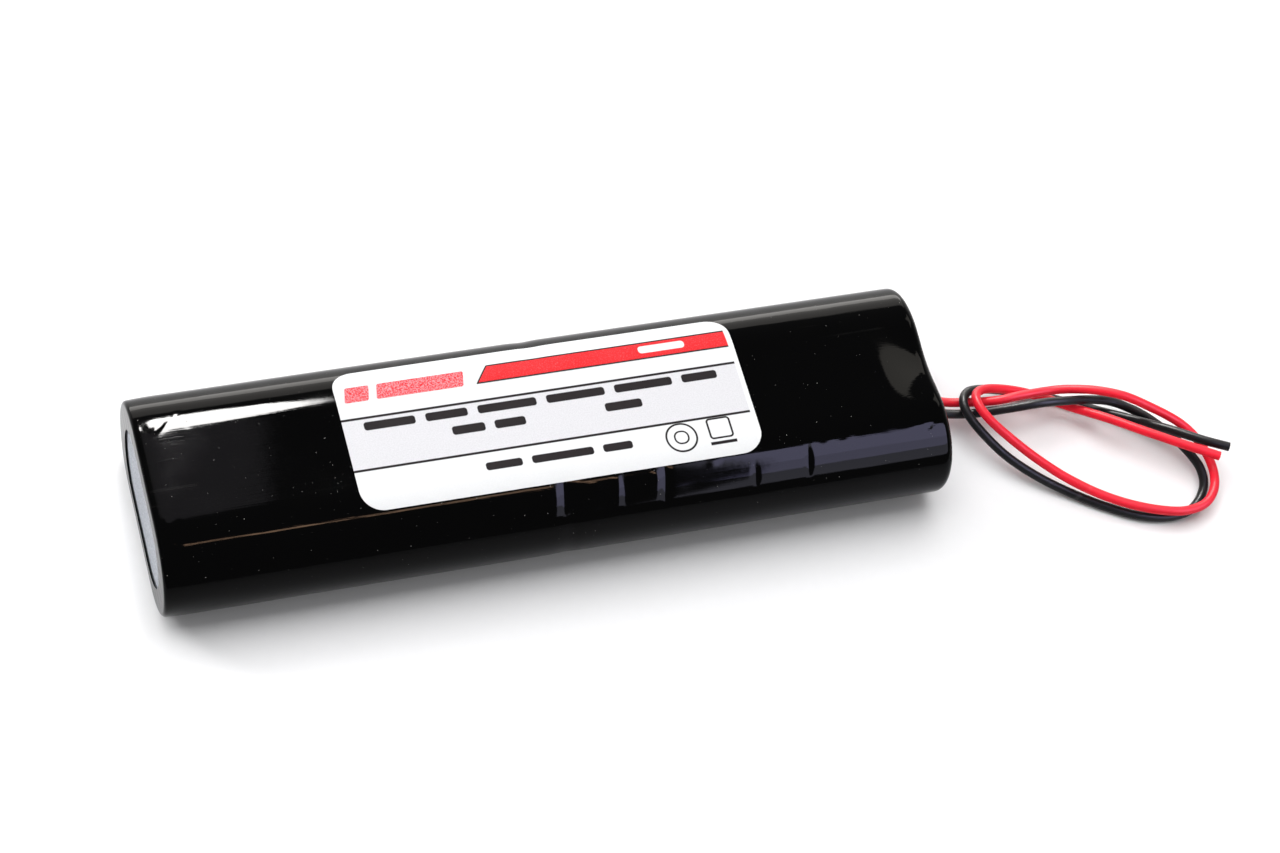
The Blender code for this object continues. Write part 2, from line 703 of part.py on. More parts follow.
def make_wire(name, route, diameter, look):
    """A wire of round section along a smooth curve through the route."""
    curve = bpy.data.curves.new(name, "CURVE")
    curve.dimensions = "3D"
    curve.bevel_depth = diameter / 2
    curve.bevel_resolution = 2
    curve.use_fill_caps = True
    points = smooth_route(route, WIRE_POINT_SPACING * diameter)
    spline = curve.splines.new("POLY")
    spline.points.add(len(points) - 1)
    for spot, point in zip(spline.points, points):
        spot.co = (*point, 1.0)
    wire = bpy.data.objects.new(name, curve)
    bpy.context.scene.collection.objects.link(wire)
    own_material(wire, look)


def eased(start, end):
    """Points of a soft bend from start to end that leaves and arrives along X."""
    points = []
    for step in range(WIRE_BEND_STEPS + 1):
        along = step / WIRE_BEND_STEPS
        share = (1 - math.cos(math.pi * along)) / 2
        point = Vector(start).lerp(Vector(end), share)
        point.x = start[0] + (end[0] - start[0]) * along
        points.append(point)
    return points


def make_tap_wires():
    """The thin wires that let the board measure each cell, laid along the lower valley."""
    on_board = BOARD_TOP + GAP + TAP_WIRE_DIAMETER / 2
    end = BOARD_LEFT + TAP_WIRE_ON_BOARD
    left = -STRIP_PLANE + GAP
    run = on_board + TAP_WIRE_RISE
    left_route = eased((left, 0, wire_ceiling(0)), (left + TAP_WIRE_LEFT_BEND, 0, run))
    left_route += eased((end - TAP_WIRE_BOARD_BEND, 0, run), (end, 0, on_board))
    make_wire("left_tap_wire", left_route, TAP_WIRE_DIAMETER, "yellow_insulation")
    start = wire_ceiling(MIDDLE_TAP_START)
    for name, row in (("back_middle_tap_wire", 1), ("front_middle_tap_wire", -1)):
        route = eased((0, row * MIDDLE_TAP_START, start), (end, row * MIDDLE_TAP_END, on_board))
        make_wire(name, route, TAP_WIRE_DIAMETER, "yellow_insulation")


def make_leads():
    """Each lead is an inner stretch from the board and a free stretch beyond the end card."""
    soldered = BOARD_RIGHT - LEAD_ON_BOARD
    low = BOARD_TOP + GAP + LEAD_DIAMETER / 2
    bend_end = HALF_LENGTH - LEAD_STRAIGHT
    for colour, side, free_route in (("red", 1, RED_ROUTE), ("black", -1, BLACK_ROUTE)):
        across = side * LEAD_PITCH / 2
        bend = eased((soldered + LEAD_STRAIGHT, across, low), (bend_end, across, LEAD_HEIGHT))
        inner_route = ((soldered, across, low), *bend, (HALF_LENGTH, across, LEAD_HEIGHT))
        look = f"{colour}_insulation"
        make_wire(f"{colour}_lead_inner", inner_route, LEAD_DIAMETER, look)
        start = (HALF_LENGTH + LEAD_JOINT_GAP, across, LEAD_HEIGHT)
        make_wire(f"{colour}_lead", (start, *free_route), LEAD_DIAMETER, look)


def main():
    clear_scene()
    make_sleeve()
    make_label()
    make_end_cards()
    make_valley_cards()
    make_cells()
    make_links()
    make_end_tabs()
    make_board()
    make_tap_wires()
    make_leads()
    # The plain looks that the pieces' own materials were copied from are no longer needed.
    for name in COLOURS:
        found = bpy.data.materials.get(name)
        if found and not found.users:
            bpy.data.materials.remove(found)


main()
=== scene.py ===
import math

import bmesh
import bpy
from bpy.props import FloatProperty, FloatVectorProperty, IntProperty, PointerProperty
from mathutils import Matrix, Vector, noise
from mathutils.geometry import interpolate_bezier


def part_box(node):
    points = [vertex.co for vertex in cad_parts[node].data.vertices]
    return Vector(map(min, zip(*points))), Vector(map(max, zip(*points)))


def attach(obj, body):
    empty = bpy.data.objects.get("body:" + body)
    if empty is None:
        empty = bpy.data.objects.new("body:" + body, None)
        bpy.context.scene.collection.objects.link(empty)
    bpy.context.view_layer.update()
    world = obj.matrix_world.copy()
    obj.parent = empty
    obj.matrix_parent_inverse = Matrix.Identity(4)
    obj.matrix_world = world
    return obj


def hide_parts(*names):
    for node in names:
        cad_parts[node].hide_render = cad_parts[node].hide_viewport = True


bl_info = {
    "name": "Battery Pack",
    "version": (1, 0, 0),
    "blender": (4, 5, 0),
    "location": "View3D > Sidebar > Battery Pack",
    "description": "Finishes a shrink-wrapped battery pack: film, sticker, leads and insides",
    "category": "Object",
}

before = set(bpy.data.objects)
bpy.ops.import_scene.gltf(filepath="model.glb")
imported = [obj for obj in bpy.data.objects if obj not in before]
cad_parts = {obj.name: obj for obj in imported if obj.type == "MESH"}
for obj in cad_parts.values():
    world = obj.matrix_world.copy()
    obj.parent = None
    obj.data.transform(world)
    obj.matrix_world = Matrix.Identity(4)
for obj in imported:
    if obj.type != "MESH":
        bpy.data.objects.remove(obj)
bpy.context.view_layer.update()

BODY = "root"
MM = 0.001
CAMERA_TARGET = (17.203, 0.841, 9.5)  # millimetres
SHEET_SPAN = 0.1  # the width and height of the sheet that the sticker's own map covers
WAIST = 0.12 * MM  # the film's dip between the left and the right cells
WAIST_REACH = 1.7 * MM
DROOP = 0.2 * MM  # its fall towards the left end
DROOP_REACH = 4.8 * MM
SAG_START = 57 * MM  # where its top starts to dip towards the right end
SAG_HALF_WIDTH = 8.6 * MM
UNDERSIDE_FADE = 6 * MM
RIPPLE = 0.04 * MM  # unevenness of the folds over the ends
RIPPLE_RUN = MM / 0.9
CELLS = ("back_left", "back_right", "front_left", "front_right")

# The way each lead lies, in millimetres, from just outside the end card to its cut end.
RED_ROUTE = (
    (70.0, 0.7, 3.5), (73.6, -0.4, 3.3), (76.0, -1.0, 3.6), (78.7, -1.7, 4.2),
    (81.9, -2.5, 5.2), (85.6, -2.5, 5.6), (91.4, -2.3, 5.4), (94.6, -2.8, 5.9),
    (99.2, -4.4, 6.9), (103.6, -6.5, 7.3), (107.7, -8.7, 6.4), (112.7, -11.3, 4.4),
    (115.1, -13.7, 3.5), (116.5, -16.9, 3.0), (116.8, -21.1, 2.9), (115.8, -24.5, 2.9),
    (113.8, -26.8, 2.9), (111.4, -27.8, 2.9), (107.5, -27.9, 3.0), (101.3, -25.9, 3.0),
    (95.4, -22.7, 3.1), (90.1, -18.7, 3.5), (85.2, -14.2, 4.5), (80.6, -9.8, 6.4),
    (78.1, -6.8, 7.5), (77.1, -4.1, 7.7), (77.3, -2.2, 7.4), (78.6, -0.9, 6.7),
    (81.8, -0.1, 5.2), (86.7, -0.4, 3.5), (90.7, -1.9, 2.9), (95.5, -5.1, 3.3),
    (100.7, -9.2, 4.8), (105.7, -13.4, 6.1), (111.1, -17.1, 6.6), (117.0, -20.6, 6.6),
)
BLACK_ROUTE = (
    (69.6, -1.6, 3.5), (72.9, -2.6, 3.3), (77.1, -3.6, 3.9), (83.0, -4.8, 6.0),
    (88.3, -5.3, 7.1), (92.6, -5.3, 6.6), (98.3, -4.8, 4.6), (102.4, -4.9, 3.2),
    (105.1, -6.0, 2.7), (108.5, -9.0, 2.8), (112.4, -14.2, 2.6), (114.8, -19.0, 2.1),
    (115.1, -21.7, 1.7), (114.4, -23.9, 1.3), (112.4, -26.2, 1.1), (110.1, -27.4, 1.0),
    (106.3, -27.7, 0.9), (101.3, -26.5, 0.9), (95.8, -23.6, 0.9), (90.4, -20.1, 1.2),
    (85.3, -16.5, 2.1), (80.6, -12.3, 3.4), (77.2, -7.9, 4.9), (75.5, -4.6, 5.8),
    (75.3, -2.6, 6.0), (76.0, -1.0, 5.8), (77.6, 0.2, 5.1), (81.3, 1.1, 3.1),
    (85.3, 1.0, 1.7), (90.6, -0.4, 1.1), (96.4, -2.9, 0.9), (101.7, -5.9, 1.3),
    (106.3, -9.5, 3.1), (110.9, -13.4, 5.1), (115.5, -17.0, 6.3), (119.4, -19.1, 6.5),
)

# Small creases and dimples in the film, in millimetres: where along the pack, how far round from
# the middle of the top, half length, half reach round, height, and how far it leans.
FILM_MARKS = (
    (-1.2, -14.6, 0.55, 2.6, -0.10, 0.12), (7.9, -15.2, 0.60, 2.8, 0.07, 0.10),
    (16.0, -14.8, 0.62, 2.4, -0.20, 0.12), (14.8, -13.6, 0.70, 0.8, 0.06, 0.0),
    (31.4, -16.2, 0.35, 1.3, -0.09, 0.05), (40.7, -15.0, 0.45, 1.9, -0.12, 0.08),
    (4.0, -13.4, 1.60, 0.5, 0.03, 0.0), (20.5, -15.8, 2.20, 0.6, -0.03, 0.0),
    (42.2, -11.6, 0.60, 0.6, 0.022, 0.4), (43.9, -11.9, 0.50, 0.5, -0.018, 0.0),
    (45.5, -11.5, 0.65, 0.6, 0.024, -0.3), (47.2, -11.8, 0.50, 0.5, -0.020, 0.2),
    (49.0, -11.3, 0.80, 0.6, 0.020, 0.3), (24.5, -12.6, 0.90, 0.6, 0.020, 0.4),
    (55.8, -12.2, 1.10, 0.7, -0.018, -0.4), (62.4, -12.4, 0.50, 0.6, -0.10, 0.6),
    (61.0, -11.6, 1.20, 0.7, 0.05, 0.0), (-61.0, 9.2, 0.40, 1.6, -0.07, 1.1),
    (-58.8, 9.3, 0.35, 1.3, -0.05, -0.5), (-62.4, 8.7, 0.60, 0.7, 0.05, 1.0),
    (-65.0, 9.0, 0.35, 0.4, -0.05, 0.0), (-63.4, 8.2, 0.45, 0.4, 0.06, 0.8),
    (-64.6, -8.6, 0.60, 0.6, 0.07, 0.0), (-63.0, -9.4, 0.50, 0.9, -0.05, 0.5),
    (-64.3, -10.6, 0.50, 1.6, 0.06, 0.2),
)

# The openings in the folded ends, in millimetres: half width, and reach above and below the middle.
LEFT_OPENING = (13.8, 6.1, 6.7)
RIGHT_OPENING = (13.8, 5.5, 7.1)

# Rows of bars that stand in for the words on the sticker, in millimetres on the sheet: low, high,
# and each bar's left and right.
WORDS = (
    (2.45, 4.0, ((-30.4, -21.9), (-20.2, -13.2), (-11.5, -1.6), (0.1, 10.0), (11.7, 21.6),
                 (23.3, 29.4))),
    (-0.75, 0.85, ((-16.5, -11.0), (-9.4, -4.2), (9.3, 15.6))),
    (-8.05, -6.6, ((-12.7, -6.6), (-5.0, 5.4), (7.0, 12.0))),
)


# ---- settings


def length_setting(name, description, length):
    """A length setting, given in millimetres."""
    return FloatProperty(name=name, description=description, default=length * MM, unit="LENGTH")


def angle_setting(name, description, degrees):
    """An angle setting, given in degrees."""
    return FloatProperty(
        name=name, description=description, default=math.radians(degrees), subtype="ANGLE"
    )


def value_setting(name, description, value):
    """A plain number setting."""
    return FloatProperty(name=name, description=description, default=value)


def colour_setting(name, description, colour):
    """A colour setting."""
    return FloatVectorProperty(name=name, description=description, default=colour, subtype="COLOR")


class FilmSettings(bpy.types.PropertyGroup):
    """Sizes and look of the shrink film."""

    wall: length_setting("Wall", "Thickness of the film", 0.15)
    shoulder_radius: length_setting("Shoulder radius", "Bend between the flat top and the round side", 14)
    shoulder_turn: angle_setting("Shoulder turn", "Turn of the film where it starts to follow the cells", 20)
    left_corner: length_setting("Left corner", "Bend over the left end", 0.6)
    right_corner: length_setting("Right corner", "Bend over the right end", 1.6)
    sag: length_setting("Sag", "Dip of the top near the right end", 1.0)
    colour: colour_setting("Colour", "The film", (0.0004, 0.0004, 0.0005))
    gloss: value_setting("Roughness", "Blur of the film's reflections", 0.042)


class StickerSettings(bpy.types.PropertyGroup):
    """Sizes and colours of the sticker."""

    length: length_setting("Length", "Along the pack", 67.6)
    width: length_setting("Width", "Round the pack", 26.35)
    corner: length_setting("Corner", "Radius of its corners", 3.8)
    shift: length_setting("Shift", "Its middle from the top's middle", 1.28)
    thickness: length_setting("Thickness", "Of the paper", 0.08)
    paper: colour_setting("Paper", "The white sheet", (0.72, 0.725, 0.735))
    band: colour_setting("Band", "Behind the main lines", (0.635, 0.63, 0.655))
    red_ink: colour_setting("Red ink", "The long bar", (0.69, 0.018, 0.023))
    black_ink: colour_setting("Black ink", "Lines and bars", (0.016, 0.013, 0.014))


class LeadSettings(bpy.types.PropertyGroup):
    """Sizes and colours of the two leads."""

    diameter: length_setting("Diameter", "Over the insulation", 1.6)
    pitch: length_setting("Pitch", "Between the two at the end card", 2.2)
    exit_height: length_setting("Exit height", "Where they leave", 3.6)
    strand: length_setting("Strand", "Diameter of one wire", 0.17)
    rings: IntProperty(name="Rings", description="Rings of wires round the middle one", default=2)
    red: colour_setting("Red", "Red insulation", (0.86, 0.011, 0.030))
    black: colour_setting("Black", "Black insulation", (0.0045, 0.0045, 0.005))


class StudioSettings(bpy.types.PropertyGroup):
    """The floor, the lights and the camera."""

    floor: colour_setting("Floor", "The plain floor", (0.86, 0.86, 0.87))
    overhead: value_setting("Overhead", "Brightness of the wide light", 3.5)
    side: value_setting("Side", "Brightness of the light at the left", 14.0)
    strip: value_setting("Strip", "Brightness of the strip behind", 210.0)
    room: value_setting("Room", "Brightness of the room", 0.42)
    turn: angle_setting("Turn", "Camera, round the pack", 31.23)
    tilt: angle_setting("Tilt", "Camera, above level", 58.378)
    roll: angle_setting("Roll", "Camera, about its line", 18.518)
    distance: length_setting("Distance", "Camera to pack", 549.25)
    lens: value_setting("Lens", "Focal length in millimetres", 92.8125)


# ---- nodes


def put(tree, kind, inputs=None, **settings):
    """A new node's outputs. Each of its inputs is a value or another node's output."""
    node = tree.nodes.new("ShaderNode" + kind)
    for name, value in settings.items():
        setattr(node, name, value)
    for name, value in (inputs or {}).items():
        if isinstance(value, bpy.types.NodeSocket):
            tree.links.new(value, node.inputs[name])
        else:
            node.inputs[name].default_value = value
    return node.outputs


def calc(tree, operation, first, second=0.0, third=0.0):
    """One number from up to three."""
    return put(tree, "Math", {0: first, 1: second, 2: third}, operation=operation)[0]


def span(tree, value, low, high, start=0.0, end=1.0):
    """A value between low and high, spread from start to end and held there."""
    inputs = {"Value": value, "From Min": low, "From Max": high, "To Min": start, "To Max": end}
    return put(tree, "MapRange", inputs)[0]


def blend(tree, share, first, second):
    """The first colour, with that share of the second."""
    inputs = {0: share}
    for index, value in ((6, first), (7, second)):
        inputs[index] = value if isinstance(value, bpy.types.NodeSocket) else (*value[:3], 1.0)
    return put(tree, "Mix", inputs, data_type="RGBA")[2]


def place(tree, scale=(1, 1, 1), turn=(0, 0, 0), shift=(0, 0, 0)):
    """The point on the object, scaled, turned and shifted."""
    point = put(tree, "TexCoord")["Object"]
    inputs = {"Vector": point, "Scale": scale, "Rotation": turn, "Location": shift}
    return put(tree, "Mapping", inputs)[0]


def new_group(name, inputs, outputs):
    """An empty node group with those sockets: its tree, what comes in and what goes out."""
    tree = bpy.data.node_groups.new(name, "ShaderNodeTree")
    for label, kind, value in inputs:
        socket = tree.interface.new_socket(label, in_out="INPUT", socket_type="NodeSocket" + kind)
        if value is not None:
            socket.default_value = value
    for label, kind in outputs:
        tree.interface.new_socket(label, in_out="OUTPUT", socket_type="NodeSocket" + kind)
    return tree, tree.nodes.new("NodeGroupInput").outputs, tree.nodes.new("NodeGroupOutput").inputs


def use(tree, group, **inputs):
    """The outputs of a node group used in a material, with its inputs set or linked."""
    node = tree.nodes.new("ShaderNodeGroup")
    node.node_tree = bpy.data.node_groups[group]
    for name, value in inputs.items():
        socket = node.inputs[name.replace("_", " ")]
        if isinstance(value, bpy.types.NodeSocket):
            tree.links.new(value, socket)
        else:
            socket.default_value = value
    return node.outputs


def make_fine_grain():
    """Fine and broad unevenness, as two values between 0 and 1."""
    tree, start, end = new_group(
        "Fine grain",
        [("Point", "Vector", None), ("Size", "Float", 0.0003), ("Cloud", "Float", 0.01)],
        [("Grain", "Float"), ("Cloud", "Float")],
    )
    for label, detail in (("Size", 3.0), ("Cloud", 4.0)):
        scale = calc(tree, "DIVIDE", 1.0, start[label])
        inputs = {"Vector": start["Point"], "Scale": scale, "Detail": detail}
        value = put(tree, "TexNoise", inputs)[0]
        tree.links.new(value, end["Grain" if label == "Size" else "Cloud"])


def make_dust_specks():
    """Scattered round specks of that spacing, as a mask."""
    tree, start, end = new_group(
        "Dust specks",
        [("Point", "Vector", None), ("Spacing", "Float", 0.004), ("Share", "Float", 0.3),
         ("Radius", "Float", 0.06)],
        [("Mask", "Float")],
    )
    scale = calc(tree, "DIVIDE", 1.0, start["Spacing"])
    cell = put(tree, "TexVoronoi", {"Vector": start["Point"], "Scale": scale})
    pick = put(tree, "SeparateColor", {"Color": cell["Color"]})
    kept = calc(tree, "LESS_THAN", pick[0], start["Share"])
    reach = calc(tree, "MULTIPLY", start["Radius"], pick[1])
    inner = calc(tree, "MULTIPLY", reach, 0.4)
    spot = span(tree, cell["Distance"], inner, reach, 1.0, 0.0)
    tree.links.new(calc(tree, "MULTIPLY", spot, kept), end["Mask"])


def make_hairlines():
    """Thin scratches in three directions, as a mask."""
    tree, start, end = new_group(
        "Hairlines",
        [("Point", "Vector", None), ("Density", "Float", 0.5)],
        [("Mask", "Float")],
    )
    total = None
    for turn, scale in ((0.35, (9, 900, 500)), (-0.9, (11, 800, 600)), (1.9, (14, 1000, 450))):
        inputs = {"Vector": start["Point"], "Rotation": (0, 0, turn), "Scale": scale}
        moved = put(tree, "Mapping", inputs)[0]
        line = put(tree, "TexNoise", {"Vector": moved, "Scale": 1.0, "Detail": 1.0})[0]
        shown = span(tree, line, 0.70, 0.76)
        total = shown if total is None else calc(tree, "MAXIMUM", total, shown)
    where = put(tree, "TexNoise", {"Vector": start["Point"], "Scale": 90.0})[0]
    limit = calc(tree, "SUBTRACT", 1.0, start["Density"])
    kept = span(tree, where, limit, calc(tree, "ADD", limit, 0.12))
    tree.links.new(calc(tree, "MULTIPLY", total, kept), end["Mask"])


def make_printed_bar():
    """A round-cornered bar printed on a sheet: its filled mask and the mask of its outline."""
    tree, start, end = new_group(
        "Printed bar",
        [("Point", "Vector", None), ("Centre", "Vector", None), ("Half", "Vector", None),
         ("Round", "Float", 0.3), ("Line", "Float", 0.2), ("Slant", "Float", 0.0),
         ("Soft", "Float", 0.05)],
        [("Mask", "Float"), ("Outline", "Float")],
    )
    moved = put(tree, "VectorMath", {0: start["Point"], 1: start["Centre"]},
                operation="SUBTRACT")[0]
    parts = put(tree, "SeparateXYZ", {0: moved})
    lean = calc(tree, "MULTIPLY", parts["Y"], start["Slant"])
    across = calc(tree, "ADD", parts["X"], lean)
    half = put(tree, "SeparateXYZ", {0: start["Half"]})
    beyond = []
    for value, limit in ((across, half["X"]), (parts["Y"], half["Y"])):
        inner = calc(tree, "SUBTRACT", limit, start["Round"])
        beyond.append(calc(tree, "SUBTRACT", calc(tree, "ABSOLUTE", value), inner))
    outside = put(tree, "CombineXYZ", {0: calc(tree, "MAXIMUM", beyond[0], 0.0),
                                       1: calc(tree, "MAXIMUM", beyond[1], 0.0)})
    reach = put(tree, "VectorMath", {0: outside[0]}, operation="LENGTH")["Value"]
    inside = calc(tree, "MINIMUM", calc(tree, "MAXIMUM", beyond[0], beyond[1]), 0.0)
    edge = calc(tree, "SUBTRACT", calc(tree, "ADD", reach, inside), start["Round"])
    soft = start["Soft"]
    back = calc(tree, "MULTIPLY", soft, -1.0)
    tree.links.new(span(tree, edge, back, soft, 1.0, 0.0), end["Mask"])
    off = calc(tree, "SUBTRACT", calc(tree, "ABSOLUTE", edge),
               calc(tree, "MULTIPLY", start["Line"], 0.5))
    tree.links.new(span(tree, off, back, soft, 1.0, 0.0), end["Outline"])


def make_groups():
    """The node groups, made once."""
    for name, make in (("Fine grain", make_fine_grain), ("Dust specks", make_dust_specks),
                       ("Hairlines", make_hairlines), ("Printed bar", make_printed_bar)):
        if name not in bpy.data.node_groups:
            make()


def new_material(name, roughness=0.5, metallic=0.0, specular=0.5):
    """A new material, its tree and its shader."""
    make_groups()
    material = bpy.data.materials.new(name)
    material.use_nodes = True
    tree = material.node_tree
    shader = tree.nodes["Principled BSDF"]
    for socket, value in (("Roughness", roughness), ("Metallic", metallic),
                          ("Specular IOR Level", specular)):
        shader.inputs[socket].default_value = value
    return material, tree, shader


def feed(shader, name, value):
    """Links another node's output to one of the shader's inputs."""
    shader.id_data.links.new(value, shader.inputs[name])


def bump(tree, shader, height, depth):
    """Fine relief on the shader's normal. The depth is the height's full range in metres."""
    inputs = {"Height": height, "Distance": depth}
    feed(shader, "Normal", put(tree, "Bump", inputs)[0])


def worn(name, colour, other, size, depth, rough, cloud, stretch=(1, 1, 1), **shader_values):
    """A plain finish: two shades mixed by fine and broad grain, with roughness and relief to match."""
    material, tree, shader = new_material(name, **shader_values)
    grain = use(tree, "Fine grain", Point=place(tree, stretch), Size=size, Cloud=cloud)
    both = calc(tree, "MULTIPLY_ADD", grain["Grain"], 0.5,
                calc(tree, "MULTIPLY", grain["Cloud"], 0.5))
    mix = span(tree, both, 0.35, 0.65)
    feed(shader, "Base Color", blend(tree, mix, colour, other))
    feed(shader, "Roughness", span(tree, both, 0.35, 0.65, *rough))
    bump(tree, shader, grain["Grain"], depth)
    return material


def finish(material, *nodes):
    """Gives those CAD nodes their material."""
    for node in nodes:
        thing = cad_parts[node]
        if not thing.material_slots:
            thing.data.materials.append(material)
        for held in thing.material_slots:
            held.material = material


# ---- pieces


def new_object(name, data):
    """A new object in the scene."""
    thing = bpy.data.objects.new(name, data)
    bpy.context.scene.collection.objects.link(thing)
    return thing


def new_piece(name, bm, material, sharp=math.radians(40)):
    """A piece from a bmesh, shaded smooth but for its sharp edges."""
    for face in bm.faces:
        face.smooth = True
    for edge in bm.edges:
        if len(edge.link_faces) == 2 and edge.calc_face_angle() > sharp:
            edge.smooth = False
    mesh = bpy.data.meshes.new(name)
    bm.to_mesh(mesh)
    bm.free()
    mesh.materials.append(material)
    return new_object(name, mesh)


def own(piece, slot, *nodes):
    """The piece rides on the pack and stands for those nodes. The slot is not used."""
    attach(piece, BODY)
    if nodes:
        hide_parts(*nodes)


def stations(*runs):
    """Places from the first run's start to the last one's end, each run with its own spacing."""
    places = [runs[0][0]]
    for start, end, spacing in runs:
        steps = max(1, round(abs(end - start) / spacing))
        places += [start + (end - start) * step / steps for step in range(1, steps + 1)]
    return places


def ease(value):
    """0 to 1, leaving and arriving flat."""
    held = min(1.0, max(0.0, value))
    return held * held * (3 - 2 * held)


class FilmShape:
    """The film's outline and relief, which the sleeve, the sticker and the end card follow."""

    def __init__(self):
        film = bpy.context.scene.pack_film
        low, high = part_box("shrink_sleeve")
        self.half_length = high.x
        self.radius = (high.z - low.z) / 2
        self.row = high.y - self.radius
        self.bend = film.shoulder_radius
        self.turn = film.shoulder_turn
        self.corners = (film.left_corner, film.right_corner)
        self.sag = film.sag
        self.flat = self.row - (self.bend - self.radius) * math.sin(self.turn)
        self.top = (self.radius + self.radius * math.cos(self.turn)
                    + self.bend * (1 - math.cos(self.turn)))
        self.shoulder = self.flat + self.bend * self.turn
        self.under = self.shoulder + self.radius * (math.pi - self.turn)
        self.half_round = self.under + self.row

    def outline(self, around, lift=0.0):
        """(y, z) on the outline, that far round from the middle of the top, and lifted off it."""
        run = abs(around)
        if run < self.flat:
            y, z, turn = run, self.top, 0.0
        elif run < self.shoulder:
            turn = (run - self.flat) / self.bend
            y = self.flat + self.bend * math.sin(turn)
            z = self.top - self.bend * (1 - math.cos(turn))
        elif run < self.under:
            turn = self.turn + (run - self.shoulder) / self.radius
            y = self.row + self.radius * math.sin(turn)
            z = self.radius + self.radius * math.cos(turn)
        else:
            turn, y, z = math.pi, self.row - (run - self.under), 0.0
        side = -1.0 if around < 0 else 1.0
        return side * (y + lift * math.sin(turn)), z + lift * math.cos(turn)

    def relief(self, x, around):
        """How far the film stands out from the plain outline there."""
        y, z = self.outline(around)
        round_side = ease((abs(around) - self.flat) / (self.shoulder - self.flat) - 0.3)
        under = ease((abs(around) - self.under) / UNDERSIDE_FADE + 1)
        height = -WAIST * round_side * math.exp(-((x / WAIST_REACH) ** 2)) * (1 - under)
        # Broad and fine unevenness. The factors are about how many waves stand on a metre.
        broad = noise.noise(Vector((x * 55, y * 110, z * 110)))
        fine = noise.noise(Vector((x * 160 + 7, y * 420, z * 420)))
        height += (0.020 * broad + 0.006 * fine) * MM * (1 - under)
        drooped = max(0.0, -x - (self.half_length - DROOP_REACH)) / DROOP_REACH
        height -= DROOP * drooped * drooped
        sunk = ease((x - SAG_START) / (self.half_length - SAG_START))
        across = min(1.0, abs(around) / SAG_HALF_WIDTH)
        height -= self.sag * sunk * math.cos(across * math.pi / 2) ** 2
        for at, at_round, reach, reach_round, rise, lean in FILM_MARKS:
            v = (around / MM - at_round) / reach_round
            u = (x / MM - at - lean * (around / MM - at_round)) / reach
            if u * u + v * v < 9:
                height += rise * MM * math.exp(-u * u - v * v)
        return height

    def point(self, x, around, lift=0.0):
        """The point on the film, that far along and round, and lifted off it."""
        y, z = self.outline(around, self.relief(x, around) + lift)
        return Vector((x, y, max(z, 0.0)))


def make_camera():
    """The camera, turned round its target, tilted and rolled."""
    studio = bpy.context.scene.pack_studio
    around, above = studio.turn, studio.tilt
    back = Vector((-math.sin(around) * math.cos(above), -math.cos(around) * math.cos(above),
                   math.sin(above)))
    right = (-back).cross(Vector((0, 0, 1))).normalized()
    up = right.cross(-back)
    level = Matrix.Rotation(studio.roll, 3, back)
    axes = Matrix((level @ right, level @ up, back)).transposed().to_4x4()
    data = bpy.data.cameras.new("camera")
    data.lens = studio.lens
    data.clip_start, data.clip_end = 0.01, 20.0
    camera = new_object("camera", data)
    target = Vector(CAMERA_TARGET) * MM
    camera.matrix_world = Matrix.Translation(target + back * studio.distance) @ axes
    bpy.context.scene.camera = camera


def soft_box(name, middle, tilt, width, depth, radiance, colour=(1, 1, 1), shape="RECTANGLE",
             gloss=True, matt=True):
    """A soft light of that brightness, its middle and size in millimetres, tilted about X or aimed.

    Gloss and matt say whether it shows in reflections and whether it lights matt surfaces.
    """
    data = bpy.data.lights.new(name, "AREA")
    data.shape = shape
    data.size, data.size_y = width * MM, depth * MM
    area = data.size * data.size_y * (math.pi / 4 if shape == "ELLIPSE" else 1.0)
    data.energy = radiance * math.pi * area
    data.color = colour
    light = new_object(name, data)
    light.location = Vector(middle) * MM
    if tilt is None:
        light.rotation_euler = light.location.to_track_quat("Z", "Y").to_euler()
    else:
        light.rotation_euler = (math.radians(tilt), 0, 0)
    light.visible_camera = False
    light.visible_glossy = gloss
    light.visible_diffuse = matt


